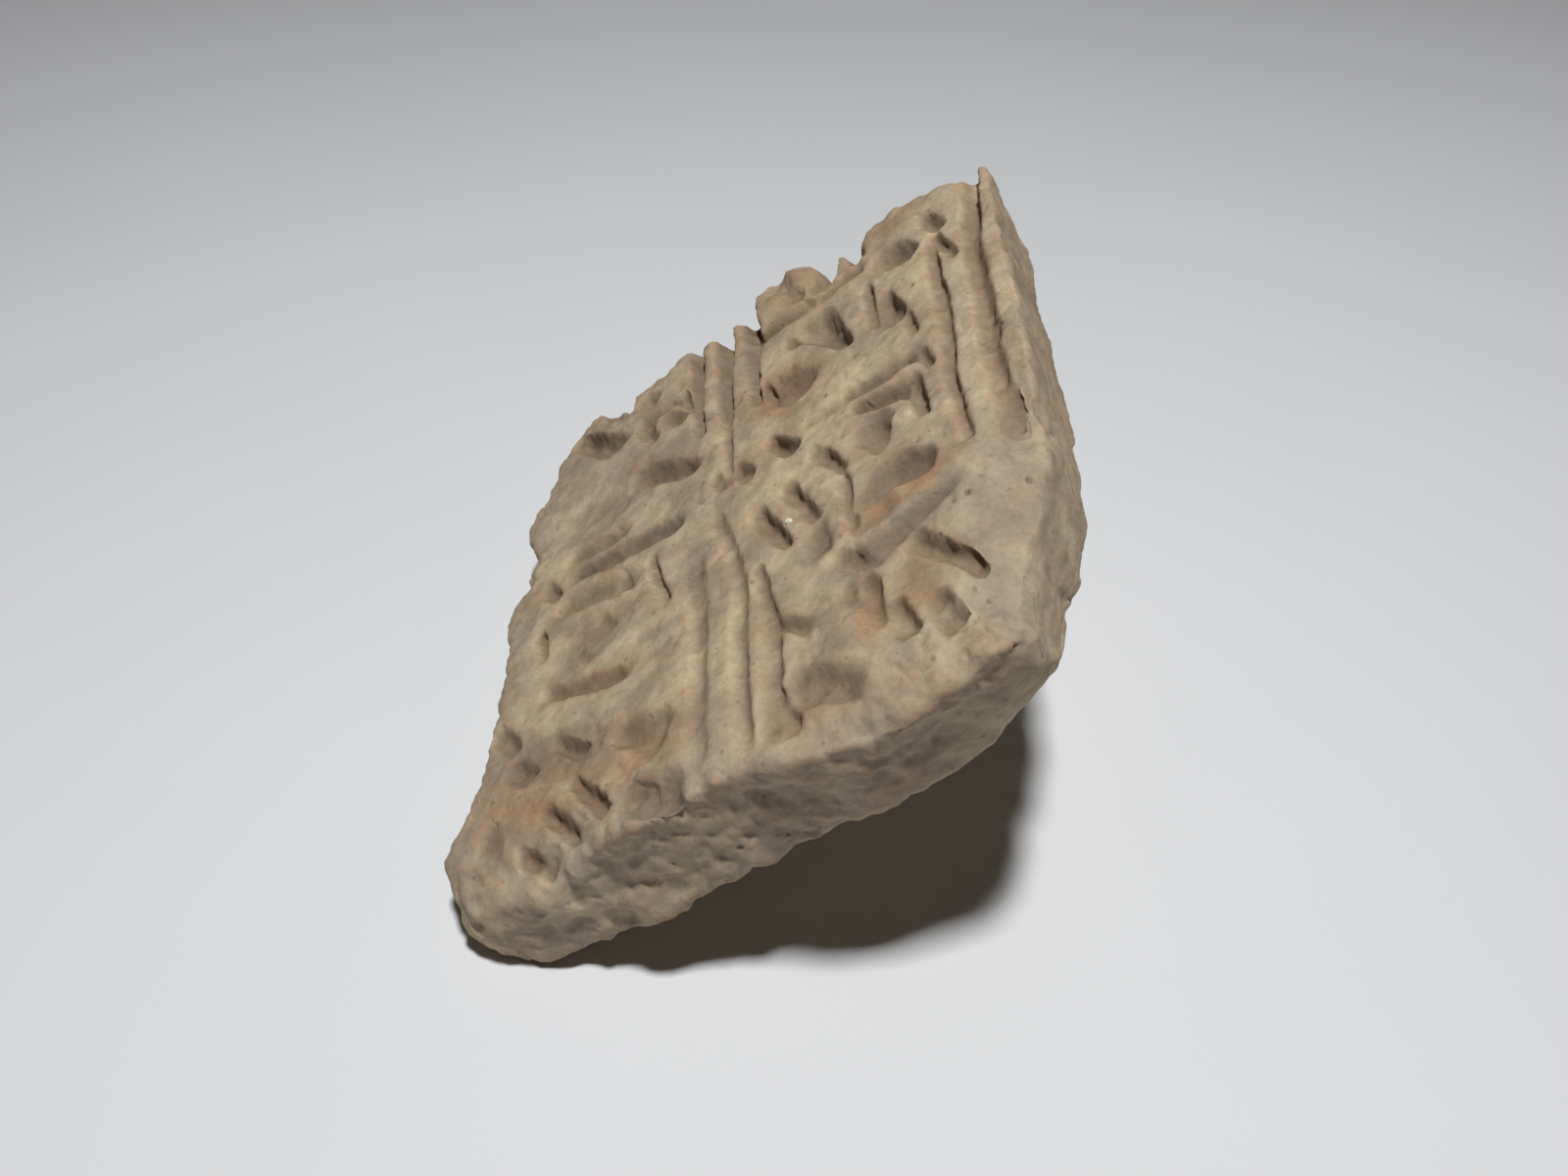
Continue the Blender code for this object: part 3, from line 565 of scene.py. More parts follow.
@dataclass
class Carving:
    """The knife work in the plate's face."""

    plate: Plate
    cut_depth: float = 2.4 * MM
    rim_power: float = 2.2
    rim_ease: float = 1.3
    streak_width: float = 0.4 * MM
    streak_length: float = 5.0 * MM
    streak_depth: float = 0.07
    streak_step: float = 7.3
    run_out: float = 2.5
    run_out_most: float = 0.35
    hand_waver: float = 0.14 * MM
    waver_size: float = 3.2 * MM
    cuts: tuple[Cut, ...] = (
        UPRIGHT_CUTS + CROSSBAR_CUTS + CROSSING_CUTS + BORDER_CUTS + UPPER_LEFT_CUTS + UPPER_RIGHT_CUTS
        + LOWER_LEFT_CUTS + LOWER_RIGHT_CUTS
    )

    def trough(self, x: np.ndarray, y: np.ndarray, cut: Cut, number: int) -> tuple[np.ndarray, np.ndarray]:
        """How far one stroke lowers the clay.

        Args:
            x: Places across the plate.
            y: Places along it.
            cut: The stroke.
            number: The stroke's place in its list, which sets its streaks.

        Returns:
            The numbers of the places that the stroke reaches, and the depth at each.
        """
        start = np.array([cut.x_start * self.plate.width, cut.y_start * self.plate.length]) / 100
        end = np.array([cut.x_end * self.plate.width, cut.y_end * self.plate.length]) / 100
        wide, narrow = cut.wide * MM, cut.narrow * MM
        reach = np.abs(end - start) / 2 + max(wide, narrow)
        middle = (start + end) / 2
        near = np.flatnonzero((np.abs(x - middle[0]) < reach[0]) & (np.abs(y - middle[1]) < reach[1]))
        run = end - start
        length = np.hypot(*run)
        from_start = np.stack([x[near], y[near]], 1) - start
        along = from_start @ run / length
        across = (from_start[:, 1] * run[0] - from_start[:, 0] * run[1]) / length
        share = np.clip(along / length, 0, 1)
        away = np.hypot(across, along - share * length)
        half = wide + (narrow - wide) * share
        rim = np.clip(away / half, 0, 1)
        side = np.clip(across / half, -1, 1)
        own_place = np.full_like(along, self.streak_step * number)
        streaks = (across / self.streak_width, along / self.streak_length, own_place)
        streak = drift(np.stack(streaks, 1), Seed.STREAK)
        floor = (1 - rim**self.rim_power) ** self.rim_ease * (1 + cut.lean * side)
        floor *= 1 + self.streak_depth * streak
        run_out = np.minimum(self.run_out * half, self.run_out_most * (length + 2 * half))
        floor *= smoothstep((length + half - along) / run_out)
        return near, cut.deep * (1 + (cut.fade - 1) * share) * self.cut_depth * floor

    def depth(self, x: np.ndarray, y: np.ndarray) -> np.ndarray:
        """How far all the strokes lower the clay, with the waver of the hand that cut them.

        Args:
            x: Places across the plate.
            y: Places along it.

        Returns:
            The depth at each place. It is below zero where the clay stands above the face.
        """
        places = np.stack([x, y, np.zeros_like(x)], 1) / self.waver_size
        x = x + self.hand_waver * drift(places, Seed.WAVER_ACROSS)
        y = y + self.hand_waver * drift(places, Seed.WAVER_ALONG)
        depth = np.zeros_like(x)
        for number, cut in enumerate(self.cuts):
            near, lowered = self.trough(x, y, cut, number)
            depth[near] = np.maximum(depth[near], lowered)
        for number, rise in enumerate(RISES):
            near, lowered = self.trough(x, y, rise, -1 - number)
            depth[near] += lowered
        return depth

    def carve(self, points: np.ndarray) -> tuple[np.ndarray, np.ndarray]:
        """Cuts the face, and shortens the walls under each cut with it.

        Args:
            points: The points of the plate, centred on the origin.

        Returns:
            The moved points, with the face at zero, and the depth of the cut at each point.
        """
        x, y, z = points.T
        cut = self.depth(x, y)
        height = (z + self.plate.thickness / 2) / self.plate.thickness
        moved = points.copy()
        moved[:, 2] = z - (cut + self.plate.worn_down(x, y)) * height - self.plate.thickness / 2
        return moved, cut * height


@dataclass
class Grip:
    """The rounded grip that is drawn out of the plate's back."""

    plate: Plate
    length: float = 21.25 * MM
    root: float = 15.0 * MM
    end: float = 7.6 * MM
    flare: float = 3.2
    pinch: float = 0.16
    spread: float = 22.0 * MM
    rings: int = 160

    def profile(self) -> tuple[np.ndarray, np.ndarray]:
        """Radius and depth below the back, from the middle of the grip's end out to the flat of the back."""
        share = np.linspace(1, 0, self.rings)
        shank = self.end + (self.root - self.end) * (1 - share) ** self.flare
        dome = 1 - self.end / self.length
        ending = np.sqrt(np.clip(1 - (np.clip(share - dome, 0, 1) / (1 - dome)) ** 2, 0, 1))
        return np.append(shank * ending, self.spread), np.append(self.length * share, 0)

    def draw_out(self, points: np.ndarray) -> np.ndarray:
        """Draws the middle of the back out into the grip.

        Args:
            points: The points of the carved plate.

        Returns:
            The moved points.
        """
        radius, depth = self.profile()
        run = np.append(0, np.cumsum(np.hypot(np.diff(radius), np.diff(depth))))
        away = np.hypot(points[:, 0], points[:, 1])
        on_back = (points[:, 2] < -self.plate.thickness + 1e-6) & (away < self.spread)
        reached = away[on_back] / self.spread * run[-1]
        drop = np.interp(reached, run, depth)
        pinch = 1 + self.pinch * drop / self.length
        scale = np.interp(reached, run, radius) / np.maximum(away[on_back], 1e-9)
        moved = points.copy()
        moved[on_back, 0] *= scale / np.sqrt(pinch)
        moved[on_back, 1] *= scale * np.sqrt(pinch)
        moved[on_back, 2] -= drop
        return moved


class Skin:
    """The points of a mesh with their neighbours, for smoothing it and finding its rims and hollows."""

    def __init__(self, mesh: bpy.types.Mesh) -> None:
        """Reads the mesh's edges."""
        self.mesh = mesh
        ends = np.empty(2 * len(mesh.edges), dtype=np.int32)
        mesh.edges.foreach_get("vertices", ends)
        self.ends = ends.reshape(-1, 2)
        self.size = len(mesh.vertices)
        self.count = np.bincount(ends, minlength=self.size)

    def read(self) -> np.ndarray:
        """The mesh's points, one row each."""
        points = np.empty(3 * self.size)
        self.mesh.vertices.foreach_get("co", points)
        return points.reshape(-1, 3)

    def write(self, points: np.ndarray) -> None:
        """Puts the mesh's points where they should be."""
        self.mesh.vertices.foreach_set("co", points.ravel())
        self.mesh.update()

    def normals(self, points: np.ndarray) -> np.ndarray:
        """The mesh's normals once its points are moved there."""
        self.write(points)
        found = np.empty(3 * self.size)
        self.mesh.vertex_normals.foreach_get("vector", found)
        return found.reshape(-1, 3)

    def averaged(self, values: np.ndarray) -> np.ndarray:
        """The mean of each point's neighbours, for one column of values."""
        one, other = self.ends.T
        total = np.bincount(one, values[other], self.size) + np.bincount(other, values[one], self.size)
        return total / self.count

    def smoothed(self, values: np.ndarray, times: int, share: float = 0.5) -> np.ndarray:
        """Values evened out over the mesh.

        Args:
            values: One or more columns of values, a row for each point.
            times: How many times to even them out.
            share: How far each time moves a value towards its neighbours' mean.

        Returns:
            The evened values.
        """
        columns = values.reshape(self.size, -1).copy()
        for _ in range(times):
            for column in range(columns.shape[1]):
                kept = (1 - share) * columns[:, column]
                columns[:, column] = kept + share * self.averaged(columns[:, column])
        return columns.reshape(values.shape)

    def keep(self, mark: Mark | Tint, values: np.ndarray) -> None:
        """Keeps a value for each point in the mesh, for its material to read."""
        attribute = self.mesh.attributes.new(mark.value, "FLOAT", "POINT")
        attribute.data.foreach_set("value", values.astype(np.float32))


@dataclass
class HandFinish:
    """What the hand, sand and wear did to the clay: lumps, grit, scars, chips and pores.

    Each grit is its size in mm, and how far it stands out, in mm, on calm and on torn clay. The sizes of
    chips and pores are their least and greatest radius in mm, and their depths are shares of their radius.
    """

    plate: Plate
    lump_size: float = 13.0 * MM
    lump_height: float = 0.4 * MM
    edge_lump_size: float = 5.0 * MM
    edge_lump_height: float = 0.7 * MM
    wall_power: float = 20.0
    wall_foot: float = 1.2
    grits: tuple[tuple[float, float, float], ...] = (
        (6.0, 0.16, 0.34),
        (3.0, 0.14, 0.34),
        (1.5, 0.12, 0.22),
        (0.8, 0.06, 0.11),
    )
    scar_size: float = 3.4 * MM
    scar_depth: float = 0.22 * MM
    scar_width: float = 0.22
    fine_scar: float = 0.45
    scar_patch: float = 7.0 * MM
    scarred: float = 0.3
    torn_from: float = 0.5
    chip_count: int = 170
    chip_sizes: Span = (0.7, 2.2)
    chip_depth: float = 0.22
    pore_count: int = 220
    pore_sizes: Span = (0.18, 0.42)
    pore_depth: float = 0.8
    seed: int = 20

    @staticmethod
    def noise_shift(points: np.ndarray, size: float) -> np.ndarray:
        """A slow, smooth shift for each point, in shares of its greatest, the same as the solid's."""
        starts = (Vector((3.1, 0, 0)), Vector((0, 17.3, 0)), Vector((0, 0, 31.7)))
        return np.array([[noise.noise(Vector(p) / size + start) for start in starts] for p in points])

    def on_walls(self, points: np.ndarray) -> np.ndarray:
        """How far each point belongs to the walls rather than to the face, the back or the grip."""
        wall = np.clip((np.abs(points[:, :2]) / self.plate.half).max(1), 0, 1) ** self.wall_power
        return np.where(points[:, 2] < -self.wall_foot * self.plate.thickness, 0, wall)

    def make_lumpy(self, points: np.ndarray) -> np.ndarray:
        """Moves each point a little, as on hand-pressed clay, and the walls rather more.

        Args:
            points: The points of the carved plate and its grip.

        Returns:
            The moved points.
        """
        lumpy = points + self.lump_height * self.noise_shift(points, self.lump_size)
        shift = self.noise_shift(points, self.edge_lump_size)[:, :2]
        lumpy[:, :2] += (self.edge_lump_height * self.on_walls(points))[:, None] * shift
        return lumpy

    def grit(self, points: np.ndarray, rough: np.ndarray) -> np.ndarray:
        """The uneven surface of sandy clay.

        Args:
            points: The points of the clay.
            rough: From 0 where the clay was smoothed to 1 where it was torn or worn.

        Returns:
            How far each point stands out.
        """
        height = np.zeros(len(points))
        for number, (size, calm, torn) in enumerate(self.grits):
            height += drift(points / (size * MM), Seed.GRIT + number) * (calm + (torn - calm) * rough) * MM
        line = drift(points / self.scar_size, Seed.SCAR)
        line = line + 0.5 * drift(points / (self.fine_scar * self.scar_size), Seed.FINE_SCAR)
        scar = self.scar_depth * np.clip(1 - np.abs(line) / self.scar_width, 0, 1)
        return height - scar * smoothstep(self.scarred + drift(points / self.scar_patch, Seed.SCAR_PATCH))

    def dents(self, points: np.ndarray, places: np.ndarray, sizes: np.ndarray, deep: float) -> np.ndarray:
        """Rounded dents about some places.

        Args:
            points: The points of the clay.
            places: The numbers of the points that the dents centre on.
            sizes: The dents' radii.
            deep: Their depth as a share of their radius.

        Returns:
            How far each point is pressed in.
        """
        tree = kdtree.KDTree(len(points))
        for number, point in enumerate(points):
            tree.insert(point, number)
        tree.balance()
        pressed = np.zeros(len(points))
        for place, size in zip(places, sizes):
            for _, number, away in tree.find_range(points[place], size):
                pressed[number] = max(pressed[number], deep * size * (1 - (away / size) ** 2) ** 1.5)
        return pressed

    def wear(self, points: np.ndarray, rough: np.ndarray) -> tuple[np.ndarray, np.ndarray]:
        """The chips in the torn clay, and the pores all over. The order of the draws is fixed.

        Args:
            points: The points of the clay.
            rough: From 0 where the clay was smoothed to 1 where it was torn or worn.

        Returns:
            How far each point is pressed in by chips, and how far by pores.
        """
        draws = np.random.default_rng(self.seed)
        places = draws.choice(np.flatnonzero(rough > self.torn_from), self.chip_count)
        sizes = draws.uniform(*self.chip_sizes, self.chip_count) * MM
        chips = self.dents(points, places, sizes, self.chip_depth)
        places = draws.integers(0, len(points), self.pore_count)
        sizes = draws.uniform(*self.pore_sizes, self.pore_count) * MM
        return chips, self.dents(points, places, sizes, self.pore_depth)


@dataclass
class Seal:
    """The whole stamp, resting on its left edge and on the end of its grip."""

    plate: Plate
    carving: Carving
    grip: Grip
    finish: HandFinish
    tilt: float = math.radians(36.73)
    face_middle: Place = (-1.21 * MM, -0.94 * MM, 27.04 * MM)
    face_depth: float = 12.0 * MM
    patch_edge: float = 1.7
    patch_fade: float = 1.2
    fine_level: int = 5
    quick_level: int = 4
    triangles: int = 192000
    points: np.ndarray = field(init=False, repr=False)
    flat: np.ndarray = field(init=False, repr=False)

    def to_rest(self, points: np.ndarray) -> np.ndarray:
        """Tips points from the plate's frame into the resting pose."""
        turn = np.array(Matrix.Rotation(-self.tilt, 3, "Y"))
        return points @ turn.T + np.array(self.face_middle)

    @staticmethod
    def clouds(points: np.ndarray, seed: int, *sizes: float) -> np.ndarray:
        """Soft blotches.

        Args:
            points: The points of the clay.
            seed: Which blotches to use.
            *sizes: Their sizes in mm, the strongest first. Each next size is a bit weaker.

        Returns:
            A value about zero for each point.
        """
        return sum(0.7**n * drift(points / (size * MM), seed + n) for n, size in enumerate(sizes))

    def tints(self, points: np.ndarray, on_face: np.ndarray) -> dict[Tint, np.ndarray]:
        """How much of each colour the patches lay on the clay, with ragged edges.

        Args:
            points: The points of the clay.
            on_face: 1 where a point belongs to the face's side of the plate, and 0 on the back.

        Returns:
            For each tint, its strength at each point.
        """
        across, along = self.flat.T
        found = {tint: np.zeros_like(across) for tint in Tint}
        for patch in PATCHES:
            turn = math.radians(patch.turn)
            dx, dy = across - patch.x, along - patch.y
            u = (dx * math.cos(turn) + dy * math.sin(turn)) / patch.along
            v = (dy * math.cos(turn) - dx * math.sin(turn)) / patch.across
            here = patch.strength * smoothstep((self.patch_edge - np.hypot(u, v)) / self.patch_fade) * on_face
            found[patch.tint] = np.maximum(found[patch.tint], here)
        for number, (tint, amount) in enumerate(found.items()):
            torn = self.clouds(points, Seed.TINT + 5 * number, 3.5, 1.8, 1.0)
            found[tint] = amount * smoothstep(0.6 + amount * 0.35 + 0.75 * torn)
        return found

    def colour(
        self, skin: Skin, points: np.ndarray, rough: np.ndarray, deep: np.ndarray, pores: np.ndarray
    ) -> None:
        """Keeps in the mesh how far each point is a rim, a wall, pale, pink and so on, and how far painted
        shade, with some soil, darkens it in cuts, hollows and pores.

        Args:
            skin: The stamp's mesh.
            points: Its finished points.
            rough: From 0 where the clay was smoothed to 1 where it was torn or worn.
            deep: The depth of the cuts.
            pores: The depth of the pores.
        """
        level = skin.smoothed(points, 10)
        stands = ((points - level) * skin.normals(level)).sum(1)
        rim = smoothstep(stands / (0.09 * MM))
        rim = rim * smoothstep(0.55 + 0.9 * self.clouds(points, Seed.RIM, 5.0, 2.0))
        hollow = smoothstep(-stands / (0.12 * MM))
        # Painted shade, with some soil: the floors of the cuts, the hollows and the pores are darkened where
        # shade falls in them
        floor = smoothstep(deep / MM) * smoothstep(0.9 + 0.6 * self.clouds(points, Seed.SHADE_AND_SOIL, 3.0, 1.4))
        shade_and_soil = 0.75 * floor + 0.35 * hollow + smoothstep(pores / (0.2 * MM))
        tone = 0.5 + 0.75 * self.clouds(points, Seed.TONE, 6.0, 2.6, 1.5, 0.9)
        skin.keep(Mark.RIM, rim)
        skin.keep(Mark.SHADE_AND_SOIL, np.clip(shade_and_soil, 0, 1))
        skin.keep(Mark.WALL, rough * smoothstep(0.7 + 0.8 * self.clouds(points, Seed.WALL, 6.0, 2.5, 1.2)))
        skin.keep(Mark.TONE, np.clip(tone, 0, 1))
        skin.keep(Mark.BLUSH, smoothstep(-0.1 + 1.1 * self.clouds(points, Seed.BLUSH, 5.0, 2.2, 1.1)))

    def shape(self, skin: Skin) -> np.ndarray:
        """Gives the blank its shape, and keeps what the material needs to know of each point.

        Args:
            skin: The blank's points.

        Returns:
            The points in the plate's frame.
        """
        plate, finish = self.plate, self.finish
        flat = plate.shape_plan(plate.round_corners(plate.round_edges(skin.read())))
        self.flat = np.stack([flat[:, 0] / plate.width * 100, flat[:, 1] / plate.length * 100], 1)
        carved, deep = self.carving.carve(flat)
        on_face = smoothstep(1.2 + carved[:, 2] / (0.5 * plate.thickness))
        worn = np.clip(plate.worn_down(*flat[:, :2].T) / (0.5 * MM), 0, 1)
        walls = smoothstep(finish.on_walls(carved) * 1.4)
        rough = np.clip(np.maximum.reduce([walls, 0.8 * worn * on_face, 0.35 * (1 - on_face)]), 0, 1)

        points = finish.make_lumpy(self.grip.draw_out(plate.bevel_foot(carved)))
        points = skin.smoothed(points, 2, 0.4)
        points = points + skin.normals(points) * finish.grit(points, rough)[:, None]
        chips, pores = finish.wear(points, rough)
        points = points - skin.normals(points) * (chips + pores)[:, None]

        self.colour(skin, points, rough, deep, pores)
        for tint, strength in self.tints(points, on_face).items():
            skin.keep(tint, strength)
        return points

    def make(self, material: bpy.types.Material) -> bpy.types.Object:
        """Builds the stamp.

        Args:
            material: Its fired clay.

        Returns:
            The finished piece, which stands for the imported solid.
        """
        mesh = self.plate.blank(self.fine_level)
        skin = Skin(mesh)
        points = self.to_rest(self.shape(skin))
        points[:, 2] = np.maximum(points[:, 2], 0)
        skin.write(points)
        self.points = points

        seal = bpy.data.objects.new("clay_seal", mesh)
        bpy.context.scene.collection.objects.link(seal)
        if 2 * len(mesh.polygons) > self.triangles:
            simpler = seal.modifiers.new("Simplify", "DECIMATE")
            simpler.ratio = self.triangles / (2 * len(mesh.polygons))
            simpler.use_collapse_triangulate = True
            graph = bpy.context.evaluated_depsgraph_get()
            seal.data = bpy.data.meshes.new_from_object(seal.evaluated_get(graph))
            seal.modifiers.clear()
            bpy.data.meshes.remove(mesh)
        for vertex in seal.data.vertices:
            vertex.co.z = max(vertex.co.z, 0)
        seal.data.name = "clay_seal"
        seal.data.shade_smooth()
        seal.data.materials.clear()
        seal.data.materials.append(material)
        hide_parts(FRAME_NODE)
        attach(seal, BODY)
        return seal

    def place_on_face(self, x: float, y: float) -> Vector:
        """The resting place of a spot of the face.

        Args:
            x: Its place across the face, in hundredths.
            y: Its place along the face, in hundredths.

        Returns:
            The point of the clay nearest to it.
        """
        upper = self.points[:, 2] > self.face_middle[2] - self.face_depth
        away = np.hypot(*(self.flat - (x, y)).T) + np.where(upper, 0, 1e3)
        return Vector(self.points[int(np.argmin(away))])


class Sheet:
    """A sheet of nodes, laid out with short calls."""

    def __init__(self, tree: bpy.types.NodeTree) -> None:
        """Takes the tree that the nodes go into."""
        self.tree = tree

    def add(self, kind: str, feeds: dict | None = None, **settings: object) -> bpy.types.Node:
        """Adds a node.

        Args:
            kind: Blender's name for the node.
            feeds: For each input, by its name or number, another node's output or a plain value.
            **settings: The node's own settings.

        Returns:
            The node.
        """
        node = self.tree.nodes.new(kind)
        for name, value in settings.items():
            setattr(node, name, value)
        for name, value in (feeds or {}).items():
            if isinstance(value, bpy.types.NodeSocket):
                self.link(value, node, name)
            else:
                node.inputs[name].default_value = value
        return node

    def link(self, value: bpy.types.NodeSocket, node: bpy.types.Node, name: str | int) -> None:
        """Links a value to a node's input, by the input's name or number."""
        self.tree.links.new(value, node.inputs[name])

    def sum(self, operation: str, *values: object, clamp: bool = False) -> bpy.types.NodeSocket:
        """A sum of one to three values, by the name of its operation."""
        feeds = dict(enumerate(values))
        return self.add("ShaderNodeMath", feeds, operation=operation, use_clamp=clamp).outputs[0]

    def spread(self, value: bpy.types.NodeSocket, low: float, high: float) -> bpy.types.NodeSocket:
        """Eases a value from 0 at the low end to 1 at the high end."""
        feeds = {"Value": value, "From Min": low, "From Max": high}
        return self.add("ShaderNodeMapRange", feeds, interpolation_type="SMOOTHSTEP").outputs[0]

    def blend(self, share: object, first: object, second: object) -> bpy.types.NodeSocket:
        """Mixes two colours by a share."""
        return self.add("ShaderNodeMix", {0: share, 6: first, 7: second}, data_type="RGBA").outputs[2]

    def read(self, mark: Mark | Tint) -> bpy.types.NodeSocket:
        """A value that the mesh keeps of each point."""
        return self.add("ShaderNodeAttribute", attribute_name=mark.value).outputs["Fac"]

    def placed(self, group: bpy.types.NodeTree, feeds: dict) -> bpy.types.Node:
        """Places a node group and feeds it."""
        return self.add("ShaderNodeGroup", feeds, node_tree=group)


class Effects:
    """The effects that the materials share, each a node group that is built once."""

    def __init__(self) -> None:
        """Builds all the groups."""
        self.mottle = self.build_mottle()
        self.grain = self.build_grain()
        self.pinholes = self.build_pinholes()

    @staticmethod
    def start(
        name: str, inputs: dict[str, str], outputs: dict[str, str]
    ) -> tuple[Sheet, bpy.types.Node, bpy.types.Node]:
        """Starts a group.

        Args:
            name: The group's name.
            inputs: The kind of each of its inputs, by name.
            outputs: The kind of each of its outputs, by name.

        Returns:
            The group's sheet, and its input and output nodes.
        """
        tree = bpy.data.node_groups.new(name, "ShaderNodeTree")
        for socket, kind in inputs.items():
            tree.interface.new_socket(socket, in_out="INPUT", socket_type=f"NodeSocket{kind}")
        for socket, kind in outputs.items():
            tree.interface.new_socket(socket, in_out="OUTPUT", socket_type=f"NodeSocket{kind}")
        sheet = Sheet(tree)
        return sheet, sheet.add("NodeGroupInput"), sheet.add("NodeGroupOutput")

    @staticmethod
    def per_metre(sheet: Sheet, size: bpy.types.NodeSocket) -> bpy.types.NodeSocket:
        """Turns a size in mm into a texture's scale."""
        return sheet.sum("DIVIDE", 1000.0, size)

    def build_mottle(self) -> bpy.types.NodeTree:
        """Soft uneven blotches of a given size in mm, between 0 and 1."""
        sheet, given, out = self.start(
            "mottle", {"Place": "Vector", "Size": "Float", "Contrast": "Float"}, {"Mask": "Float"}
        )
        feeds = {"Vector": given.outputs["Place"], "Scale": self.per_metre(sheet, given.outputs["Size"])}
        cloud = sheet.add("ShaderNodeTexNoise", {**feeds, "Detail": 3.0, "Roughness": 0.55}).outputs[0]
        centred = sheet.sum("SUBTRACT", cloud, 0.5)
        mask = sheet.sum("MULTIPLY_ADD", centred, given.outputs["Contrast"], 0.5, clamp=True)
        sheet.link(mask, out, "Mask")
        return sheet.tree

    def build_grain(self) -> bpy.types.NodeTree:
        """Fine sandy grain of a given size in mm, about a half."""
        sheet, given, out = self.start(
            "sandy_grain", {"Place": "Vector", "Size": "Float"}, {"Value": "Float"}
        )
        feeds = {"Vector": given.outputs["Place"], "Scale": self.per_metre(sheet, given.outputs["Size"])}
        sand = sheet.add("ShaderNodeTexNoise", {**feeds, "Detail": 2.0, "Roughness": 0.6}).outputs[0]
        sheet.link(sand, out, "Value")
        return sheet.tree

    def build_pinholes(self) -> bpy.types.NodeTree:
        """Scattered tiny pits at a given spacing in mm: a mask, and a height that drops in them."""
        sheet, given, out = self.start(
            "pinholes", {"Place": "Vector", "Spacing": "Float"}, {"Mask": "Float", "Height": "Float"}
        )
        feeds = {"Vector": given.outputs["Place"], "Scale": self.per_metre(sheet, given.outputs["Spacing"])}
        cells = sheet.add("ShaderNodeTexVoronoi", {**feeds, "Randomness": 1.0})
        pick = sheet.add("ShaderNodeSeparateColor", {0: cells.outputs["Color"]})
        size = sheet.sum("MULTIPLY", sheet.spread(pick.outputs[0], 0.45, 1.0), 0.26)
        away = sheet.sum("DIVIDE", cells.outputs["Distance"], sheet.sum("ADD", size, 1e-4))
        mask = sheet.sum("MULTIPLY", sheet.sum("SUBTRACT", 1.0, away), 2.0, clamp=True)
        sheet.link(mask, out, "Mask")
        sheet.link(sheet.sum("MULTIPLY", mask, -1.0), out, "Height")
        return sheet.tree


def new_material(name: str) -> tuple[bpy.types.Material, Sheet, bpy.types.Node]:
    """A material with its sheet of nodes and its shader."""
    material = bpy.data.materials.new(name)
    material.use_nodes = True
    return material, Sheet(material.node_tree), material.node_tree.nodes["Principled BSDF"]


@dataclass(frozen=True)
class Layer:
    """A colour laid over the clay where the mesh's mark says, up to a greatest strength."""

    mark: Mark | Tint
    colour: Colour
    most: float


@dataclass(frozen=True)
class FiredClay:
    """Sandy buff clay, fired unevenly: tan, with pale slip, orange and grey patches. Its cuts, hollows, pores
    and pinholes are darkened with painted shade, with some soil.

    The sizes of grain and pinholes are in mm. A pair of numbers is what the grain is multiplied by, and
    what is then added to it.
    """

    light: Colour = (0.545, 0.435, 0.288)
    dull: Colour = (0.335, 0.255, 0.166)
    # The dark brown of painted shade, with some soil, laid in cuts, hollows, pores and pinholes
    shade_and_soil: Colour = (0.205, 0.140, 0.086)
    layers: tuple[Layer, ...] = (
        Layer(Mark.BLUSH, (0.420, 0.275, 0.175), 0.55),
        Layer(Mark.WALL, (0.350, 0.288, 0.208), 0.75),
        Layer(Tint.PALE, (0.475, 0.390, 0.270), 0.7),
        Layer(Tint.ORANGE, (0.345, 0.190, 0.105), 0.75),
        Layer(Tint.GREY, (0.235, 0.196, 0.152), 0.8),
        Layer(Mark.RIM, (0.370, 0.205, 0.110), 0.42),
        # Painted shade, with some soil, over the cut floors, hollows and pores
        Layer(Mark.SHADE_AND_SOIL, shade_and_soil, 0.8),
    )
    grain_size: float = 0.5
    hole_spacing: float = 1.1
    grain_tone: Span = (0.5, 0.75)
    # How far the pinholes are darkened with painted shade
    hole_shade: float = 0.5
    hole_height: float = 0.6
    roughness: Span = (0.2, 0.78)
    shine: float = 0.25
    bump: float = 0.4
    bump_depth: float = 0.12 * MM

    def make(self, effects: Effects) -> bpy.types.Material:
        """Builds the material.

        Args:
            effects: The shared effects.

        Returns:
            The fired clay.
        """
        material, sheet, shader = new_material(CLAY_SLOT)
        place = sheet.add("ShaderNodeTexCoord").outputs["Object"]
        colour = sheet.blend(sheet.read(Mark.TONE), (*self.dull, 1), (*self.light, 1))
        for layer in self.layers:
            share = sheet.sum("MULTIPLY", sheet.read(layer.mark), layer.most)
            colour = sheet.blend(share, colour, (*layer.colour, 1))

        grain = sheet.placed(effects.grain, {"Place": place, "Size": self.grain_size}).outputs[0]
        holes = sheet.placed(effects.pinholes, {"Place": place, "Spacing": self.hole_spacing})
        speck = sheet.add("ShaderNodeHueSaturation", {"Color": colour})
        sheet.link(sheet.sum("MULTIPLY_ADD", grain, *self.grain_tone), speck, "Value")
        # Painted shade in the pinholes: they are darkened towards the dark brown of the shade
        dark = sheet.sum("MULTIPLY", holes.outputs["Mask"], self.hole_shade)
        colour = sheet.blend(dark, speck.outputs[0], (*self.shade_and_soil, 1))

        height = sheet.sum("MULTIPLY_ADD", holes.outputs["Height"], self.hole_height, grain)
        feeds = {"Height": height, "Strength": self.bump, "Distance": self.bump_depth}
        raised = sheet.add("ShaderNodeBump", feeds)
        sheet.link(colour, shader, "Base Color")
        sheet.link(sheet.sum("MULTIPLY_ADD", grain, *self.roughness), shader, "Roughness")
        sheet.link(raised.outputs[0], shader, "Normal")
        shader.inputs["Specular IOR Level"].default_value = self.shine
        return material


